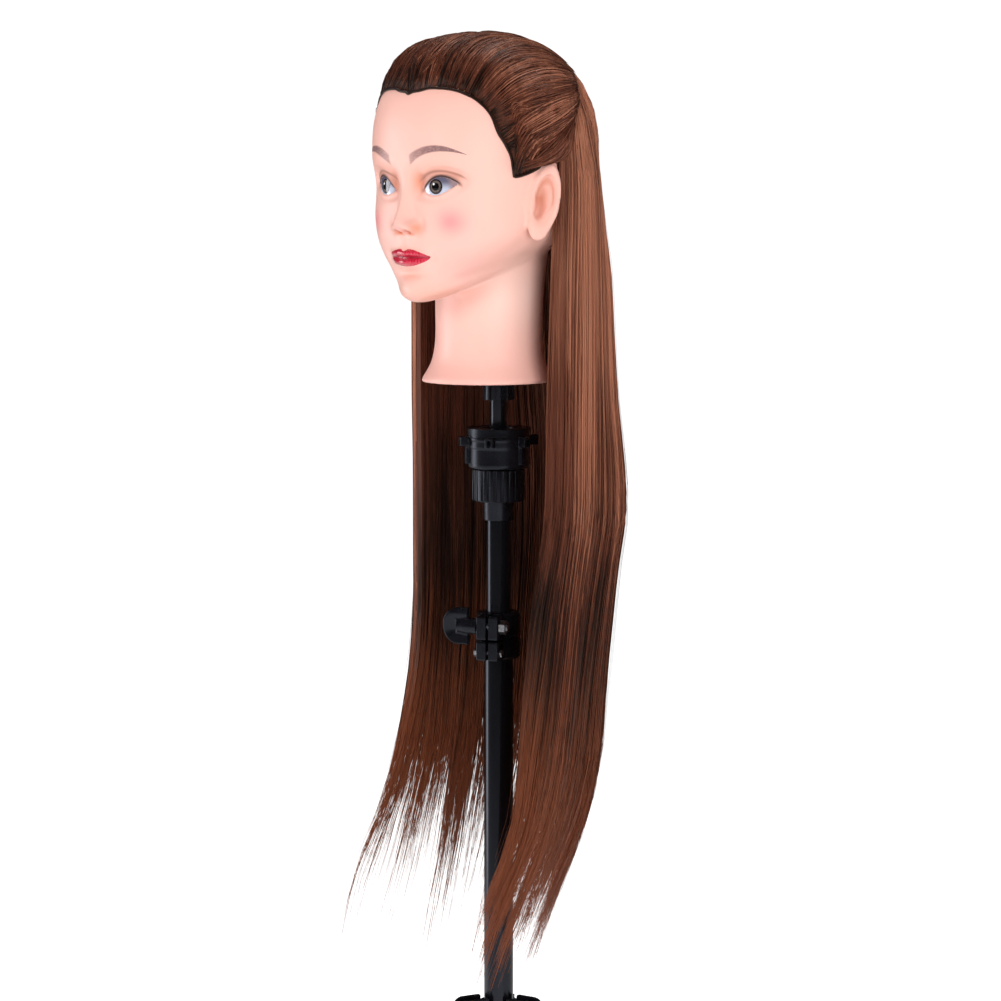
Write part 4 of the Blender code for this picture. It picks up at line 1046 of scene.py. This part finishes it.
JOINTS = {joint["name"]: joint for joint in frame["joints"]}
WING_PLACE = JOINTS["wing_knob_turn"]["pos_m"]
WING_Z = WING_PLACE[2]
EAR_HEADING = math.atan2(WING_PLACE[1], WING_PLACE[0])
EAR_MIDDLE = math.hypot(WING_PLACE[0], WING_PLACE[1])
LEG_PLACES = [JOINTS[f"leg_fold_{i}"]["pos_m"] for i in (1, 2, 3)]
LEG_HEADINGS = [math.atan2(place[1], place[0]) for place in LEG_PLACES]
LEG_ANGLE = math.radians(38)
PIVOT = (math.hypot(LEG_PLACES[0][0], LEG_PLACES[0][1]), LEG_PLACES[0][2])
LEG_LENGTH = PIVOT[1] / math.cos(LEG_ANGLE)
HUB_KNOB_AXIS = JOINTS["hub_knob_turn"]["axis"]
HUB_KNOB_HEADING = math.atan2(HUB_KNOB_AXIS[1], HUB_KNOB_AXIS[0])
HUB_KNOB_Z = JOINTS["hub_knob_turn"]["pos_m"][2]
HUB_KNOB_DROP = 35.5    # knob's screw below the leg pivots, in millimetres
CUP_FLOOR = 0.777
COLLAR_BOTTOM = 0.6275
COLLAR_SCREW_Z = 0.6340
LUGS = 6
LUG_HEADING = math.radians(-59)  # the first lug


def cup_shape(x, y, z):
    """Swivel cup with its ring of lugs, heights above the cup's floor."""
    r = np.hypot(x, y)
    outer = np.interp(z, (0, 1.2, 3, 15, 17, 25, 28.6, 31.4),
                      (23.2, 24.2, 24.5, 24.3, 24.8, 24.9, 24.8, 24.8))
    body = np.maximum(r - outer, np.abs(z - 15.7) - 15.7)
    hollow = np.maximum(r - np.where(z > 26, 11.6 + (z - 26) * 0.3, 21.4), 3.0 - z)
    shape = smooth_cut(body, hollow, 1.0)
    band = np.maximum(np.abs(z - 23.0) - 1.0, np.maximum(r - 25.3, 22.0 - r))
    shape = smooth_union(shape, band, 0.8)
    pitch = 2 * math.pi / LUGS
    share = (np.arctan2(y, x) - LUG_HEADING) / pitch
    turn = (share - np.round(share)) * pitch
    ribbed = np.round(share) % 2 == 1
    a, b = r * np.cos(turn), r * np.sin(turn)
    lug = block(a, b, z, (23.0, -3.4, 17.3), (31.5, 3.4, 25.0), 0.9)
    notch = block(a, b, z, (26.0, -1.3, 10.0), (33.0, 1.3, 23.2), 0.5)
    rib = np.where(ribbed, block(a, b, z, (22.8, -2.6, 3.5), (27.0, 2.6, 20.0), 0.7), 50.0)
    return smooth_union(smooth_union(shape, smooth_cut(lug, notch, 0.5), 0.8), rib, 0.8)


def collar_shape(x, y, z):
    """Split clamp collar, heights above its bottom, ears along +x."""
    shape = ring_band(x, y, z, 9.6, 16.0, 0, 36.5, 0.9)
    shape = smooth_union(shape, ring_band(x, y, z, 12.0, 17.2, 1.5, 15.0, 1.0), 1.0)
    shape = smooth_union(shape, ring_band(x, y, z, 12.0, 16.9, 18.5, 35.0, 1.0), 1.0)
    for low, high in ((1.0, 15.8), (17.2, 35.5)):
        shape = smooth_union(shape, block(x, y, z, (11.5, -9.0, low), (28.5, 9.0, high), 1.1), 1.2)
    lump = ellipsoid((x, y, z), (-13, 6, 16), (8, 7, 11), 7)
    shape = smooth_union(shape, lump, 2.0)
    r = np.hypot(x, y)
    bore = r - np.where(z < 22.3, 11.7, 9.7)
    shape = np.maximum(shape, -bore)
    slit = np.maximum(np.abs(y) - 1.0, 2.0 - x)
    shape = smooth_cut(shape, slit, 0.4)
    for place, size in ((WING_Z, 3.1), (COLLAR_SCREW_Z, 1.9)):
        hole = np.hypot(x - EAR_MIDDLE / MM, z - (place - COLLAR_BOTTOM) / MM) - size
        shape = np.maximum(shape, -hole)
    return shape


def wing_field(x, y, z):
    """Wing grip about the clamp screw: z along the screw, x across the wings."""
    boss = np.hypot(x, y) - np.interp(z, (9.3, 20, 24), (6.4, 6.0, 5.0))
    boss = np.maximum(boss, np.maximum(9.35 - z, z - 26))
    side = np.abs(x)
    outer_edge = 24.0 + 14.0 * np.maximum(1 - (side / 14.6) ** 2.6, 0) ** 0.6
    sheet = np.maximum(np.maximum(z - outer_edge, 17.6 - z - 0.06 * side), side - 14.4)
    thick = 1.4 + 1.5 * smooth_step(side, 2, 11) * smooth_step(z, 40, 26)
    wing = smooth_cut(sheet, thick - np.abs(y + 0.8 * np.sin(x / 4.6)), 1.6)
    shape = smooth_union(boss, wing, 2.4)
    bore = np.maximum(np.hypot(x, y) - 3.1, z - 17.4)
    return np.maximum(shape, -bore)


def hub_shape(x, y, z):
    """Leg hub with its three forks, heights about the leg pivots."""
    shape = ring_band(x, y, z, 11.6, 16.5, -47.5, 5.5, 0.8)
    shape = smooth_union(shape, ring_band(x, y, z, 11.8, 17.6, -47.0, -42.0, 0.8), 0.8)
    for heading in LEG_HEADINGS:
        a = x * math.cos(heading) + y * math.sin(heading)
        b = np.abs(-x * math.sin(heading) + y * math.cos(heading))
        reach = np.hypot(np.maximum(a - 27.0, 0), z) - 10.5
        plate = np.maximum(np.maximum(reach, 13.0 - a), np.abs(b - 7.6) - 2.0)
        hole = np.hypot(a - 27.0, z) - 2.6
        shape = smooth_union(shape, smooth_cut(plate, hole, 0.2), 1.2)
    a = x * math.cos(HUB_KNOB_HEADING) + y * math.sin(HUB_KNOB_HEADING)
    b = -x * math.sin(HUB_KNOB_HEADING) + y * math.cos(HUB_KNOB_HEADING)
    shape = smooth_union(shape, block(a, b, z, (13.5, -6.5, -42), (19.5, 6.5, -29), 1.2), 1.0)
    hole = np.maximum(np.hypot(b, z + HUB_KNOB_DROP) - 3.3, 8 - a)
    bore = np.hypot(x, y) - 11.75
    return np.maximum(np.maximum(shape, -hole), -bore)


def grooves(count, depth, share, low, high):
    """Radius change of evenly spaced grooves between two heights, for outer faces only."""
    def wave(turn, z, r):
        phase = np.abs(((turn * count / (2 * math.pi)) % 1) - 0.5) * 2
        groove = smooth_step(share + 0.12 - phase, 0, 0.24)
        return -depth * groove * smooth_step(z, low, low + 0.001) * (1 - smooth_step(z, high - 0.001, high))
    return wave


def make_stand(plastic, paint):
    """Finer shapes for the stand's visible parts, by the body each rides on."""
    tube = lambda outer, inner, low, high: [(outer, low), (outer, high), (inner, high), (inner, low)]
    made = {}

    def keep(body, obj):
        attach(obj, body)
        made[obj.name] = obj

    keep("column", revolve("outer_tube_look", tube(0.0115, 0.0105, 0.012, 0.6497), paint))
    keep("inner_column", revolve("inner_tube_look", tube(0.0095, 0.0083, 0.300, 0.747), paint))
    sleeve = [(0.0098, 0.736), (0.0120, 0.736), (0.0123, 0.7507), (0.0140, 0.7508), (0.0140, 0.7803),
              (0.0185, 0.7803), (0.0185, 0.7829), (0.0060, 0.7829), (0.0060, 0.7473), (0.0098, 0.7473)]
    keep("inner_column", revolve("tube_adapter_look", sleeve, plastic))
    ring = [(0.0146, 0.7510), (0.0196, 0.7510), (0.0205, 0.7520), (0.0205, 0.7756), (0.0198, 0.7765),
            (0.0146, 0.7765)]
    outer_only = grooves(24, 0.0013, 0.38, 0.7518, 0.7757)
    flutes = lambda turn, z, r: np.where(r > 0.0185, outer_only(turn, z, r), 0)
    keep("ring", revolve("lock_ring_look", ring, plastic, 24 * 16, 0.0003, None, flutes))
    keep("cup", sculpt("swivel_cup_look", cup_shape, (-33, -33, -0.8), (33, 33, 32.4), 0.62, plastic,
                       Matrix.Translation((0, 0, CUP_FLOOR))))
    post = [(0, 0.7945), (0.0040, 0.7945), (0.0040, 0.8064), (0.0064, 0.8064), (0.0064, 0.8810),
            (0.0027, 0.8810), (0.0027, 0.8667), (0, 0.8667)]
    keep("post", revolve("swivel_post_look", post, paint, 64))
    plug = [(0.0067, 0.8300), (0.0125, 0.8300), (0.0105, 0.8950), (0.0030, 0.8950), (0.0030, 0.8813),
            (0.0067, 0.8813)]
    wide = grooves(8, 0.0016, 0.5, 0.826, 0.899)
    lobes = lambda turn, z, r: np.where(r > 0.0095, wide(turn, z, r), 0)
    keep("post", revolve("post_plug_look", plug, plastic, 8 * 24, 0.0004, None, lobes))
    collar = frame_at((0, 0, COLLAR_BOTTOM), (0, 0, EAR_HEADING))
    keep("column", sculpt("tube_collar_look", collar_shape, (-25, -20, -0.8), (30, 20, 37.6), 0.5, plastic,
                          collar))
    knob = frame_at(WING_PLACE, (0, math.radians(90), EAR_HEADING - math.radians(90)))
    keep("wing", sculpt("wing_knob_look", wing_field, (-16, -8, 8.5), (16, 8, 40), 0.42, plastic, knob))
    keep("hub", sculpt("leg_hub_look", hub_shape, (-40, -40, -49), (40, 40, 13), 0.7, plastic,
                       Matrix.Translation((0, 0, PIVOT[1]))))
    grip = [(0.0033, 0.0200), (0.0060, 0.0200), (0.0062, 0.0225), (0.0115, 0.0235), (0.0115, 0.0335),
            (0.0095, 0.0355), (0, 0.0355), (0, 0.0278), (0.0033, 0.0278)]
    scallop = lambda turn, z, r: np.where(r > 0.009, -0.0016 * np.abs(np.cos(turn * 3)) ** 3, 0)
    out = frame_at((0, 0, HUB_KNOB_Z), (0, math.radians(90), HUB_KNOB_HEADING))
    keep("hub_grip", revolve("hub_knob_look", grip, plastic, 96, 0.0006, out, scallop))
    for i, heading in enumerate(LEG_HEADINGS, 1):
        leg = frame_at(polar(PIVOT[0], heading, PIVOT[1]), (0, -LEG_ANGLE, heading))
        pipe = tube(0.0080, 0.0070, -(LEG_LENGTH - 0.022), -0.0168)
        keep(f"leg_{i}", revolve(f"leg_tube_{i}_look", pipe, paint, 64, 0.0004, leg))
    return made


# ------------------------------------------------------------------ stand finishes
def grained(name, scale, detail, dark, light, roughness=0.5, metallic=0.0, stretch=(1, 1, 1)):
    """A finish between two colours, and the noise that mixes them."""
    finish = Finish(name, roughness, metallic)
    grain = finish.noise(scale, detail, stretch)
    finish.set("Base Color", grain.step(0.3, 0.7).colour(srgb(*dark), srgb(*light)))
    return finish, grain


def black_plastic():
    plastic, cloud = grained("black_plastic_moulded", 60, 3, (6, 6, 8), (14, 14, 18))
    plastic.set("Roughness", cloud * 0.14 + 0.20)
    plastic.set("Specular IOR Level", 0.33)
    plastic.set("Specular Tint", (0.80, 0.84, 1.0))
    return plastic.bump(plastic.noise(3200, 2), 0.00008, 0.35).material


def black_paint():
    paint, cloud = grained("black_paint_on_steel", 25, 3, (6, 6, 8), (13, 13, 16), stretch=(1, 1, 0.2))
    paint.set("Roughness", cloud * 0.10 + 0.16)
    paint.set("Specular IOR Level", 0.4)
    paint.set("Specular Tint", (0.80, 0.84, 1.0))
    return paint.bump(paint.noise(1500, 2), 0.00005, 0.25).material


def bright_steel():
    steel, grain = grained("zinc_steel_screws", 900, 3, (150, 150, 155), (196, 196, 200), metallic=1.0)
    return steel.set("Roughness", grain * 0.2 + 0.22).material


def dull_rubber():
    rubber, grain = grained("black_rubber_grip", 700, 3, (16, 16, 16), (30, 30, 30), 0.8)
    return rubber.bump(grain, 0.0002, 0.5).material


def pale_nylon():
    return grained("white_nylon_bush", 300, 2, (214, 212, 204), (228, 226, 220), 0.45)[0].material


def socket_finish():
    return grained("socket_plastic_grey", 500, 2, (190, 160, 145), (205, 176, 160))[0].material


def finish_nodes(replaced, plastic, paint):
    """Give every CAD node that stays in sight its finish."""
    finishes = {"black_plastic": plastic, "black_painted_metal": paint, "zinc_steel": bright_steel(),
                "white_nylon": pale_nylon(), "black_rubber": dull_rubber(),
                "socket_plastic": socket_finish()}
    slots = {}
    for part in frame["record"]["subparts"]:
        slots[part["node"]] = part.get("material_slot") or part.get("material")
    for name, node in frame["nodes"].items():
        if name in replaced:
            continue
        if name == "swivel_ball":
            slots[name] = "black_painted_metal"
        material = finishes.get(slots.get(name), finishes["black_plastic"])
        node.data.materials.clear()
        node.data.materials.append(material)


# ------------------------------------------------------------------ studio
def soft_light(name, place, size, power, target, colour=(1, 1, 1)):
    data = bpy.data.lights.new(name, "AREA")
    data.shape = "DISK"
    data.size = size
    data.energy = power
    data.color = colour
    lamp = bpy.data.objects.new(name, data)
    lamp.location = place
    lamp.rotation_euler = (Vector(target) - Vector(place)).to_track_quat("-Z", "Y").to_euler()
    bpy.context.scene.collection.objects.link(lamp)
    return lamp


def make_studio():
    scene = bpy.context.scene
    scene.view_settings.view_transform = "Standard"
    world = bpy.data.worlds.new("studio")
    world.use_nodes = True
    tree = world.node_tree
    background = tree.nodes["Background"]
    background.inputs["Color"].default_value = (1, 1, 1, 1)
    seen = Value(tree, tree.nodes.new("ShaderNodeLightPath").outputs["Is Camera Ray"])
    mirrored = Value(tree, tree.nodes.new("ShaderNodeLightPath").outputs["Is Glossy Ray"])
    tree.links.new((seen * 0.70 + 0.34 - mirrored * 0.30).socket, background.inputs["Strength"])
    scene.world = world
    for name, place, size, power, height in (("key", (0.2, -2.5, 1.7), 1.2, 25, 0.85),
                                             ("fill", (2.5, -1.2, 1.2), 1.4, 34, 0.8),
                                             ("under", (2.0, -1.9, 0.45), 1.2, 3, 0.92)):
        soft_light(name, place, size, power, (0, 0, height)).visible_glossy = False
    soft_light("side", (2.1, 1.3, 1.7), 0.9, 14, (0, 0, 0.8))
    soft_light("top", (-0.6, 0.5, 2.7), 1.0, 16, (0, 0, 0.95))
    soft_light("sheen", (0.9, -1.9, 2.4), 0.35, 3, (0, 0, 1.05))
    panel = soft_light("panel", (-2.0, -1.35, 0.8), 0.8, 18, (0, 0, 0.75), (0.92, 0.94, 1.0))
    panel.data.shape = "RECTANGLE"
    panel.data.size_y = 1.7
    floor = bpy.data.meshes.new("floor")
    bm = bmesh.new()
    bmesh.ops.create_grid(bm, x_segments=1, y_segments=1, size=12)
    bm.to_mesh(floor)
    bm.free()
    ground = bpy.data.objects.new("floor", floor)
    finish = Finish("pale_floor", roughness=0.9)
    cloud = finish.noise(3, 2)
    finish.set("Base Color", cloud.colour(srgb(250, 250, 250), srgb(255, 255, 255)))
    finish.set("Emission Color", (1.0, 1.0, 1.0))
    looked_at = Value(finish.tree, finish.tree.nodes.new("ShaderNodeLightPath").outputs["Is Camera Ray"])
    finish.set("Emission Strength", looked_at * 0.75)
    floor.materials.append(finish.material)
    scene.collection.objects.link(ground)


VIEW_WIDTH = 0.78078                      # seen across the picture at the stand
VIEW_TARGET = Vector((0.0012, 0.0009, 0.751))
VIEW_DISTANCE, VIEW_HEIGHT = 2.5, 1.02
SENSOR_WIDTH = 36


def make_camera():
    turn = math.radians(45)
    place = Vector((VIEW_DISTANCE * math.sin(turn), -VIEW_DISTANCE * math.cos(turn), VIEW_HEIGHT))
    target = VIEW_TARGET
    data = bpy.data.cameras.new("camera")
    data.sensor_width = SENSOR_WIDTH
    data.lens = (target - place).length / VIEW_WIDTH * SENSOR_WIDTH
    camera = bpy.data.objects.new("camera", data)
    camera.location = place
    camera.rotation_euler = (target - place).to_track_quat("-Z", "Y").to_euler()
    bpy.context.scene.collection.objects.link(camera)
    bpy.context.scene.camera = camera


# ------------------------------------------------------------------ the whole picture
head = make_head()
eyes = make_eyes()
cap = make_cap()
welt = make_welt()
swept, fall = make_hair()

for piece in (head, *eyes, cap, welt, *swept):
    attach(piece, "head")
for piece in fall:
    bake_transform(piece)
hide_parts("head_shell")
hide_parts("scalp_cap")
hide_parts("hair_top")
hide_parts("hair_fall_left", "hair_fall_back_left")
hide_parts("hair_fall_back")
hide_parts("hair_fall_right", "hair_fall_back_right")

replaced = {"head_shell", "scalp_cap", "hair_top", "hair_fall_left", "hair_fall_back_left",
            "hair_fall_back", "hair_fall_back_right", "hair_fall_right"}
plastic, paint = black_plastic(), black_paint()
stand = make_stand(plastic, paint)
replaced |= {name.removesuffix("_look") for name in stand}
finish_nodes(replaced, plastic, paint)
make_studio()
make_camera()
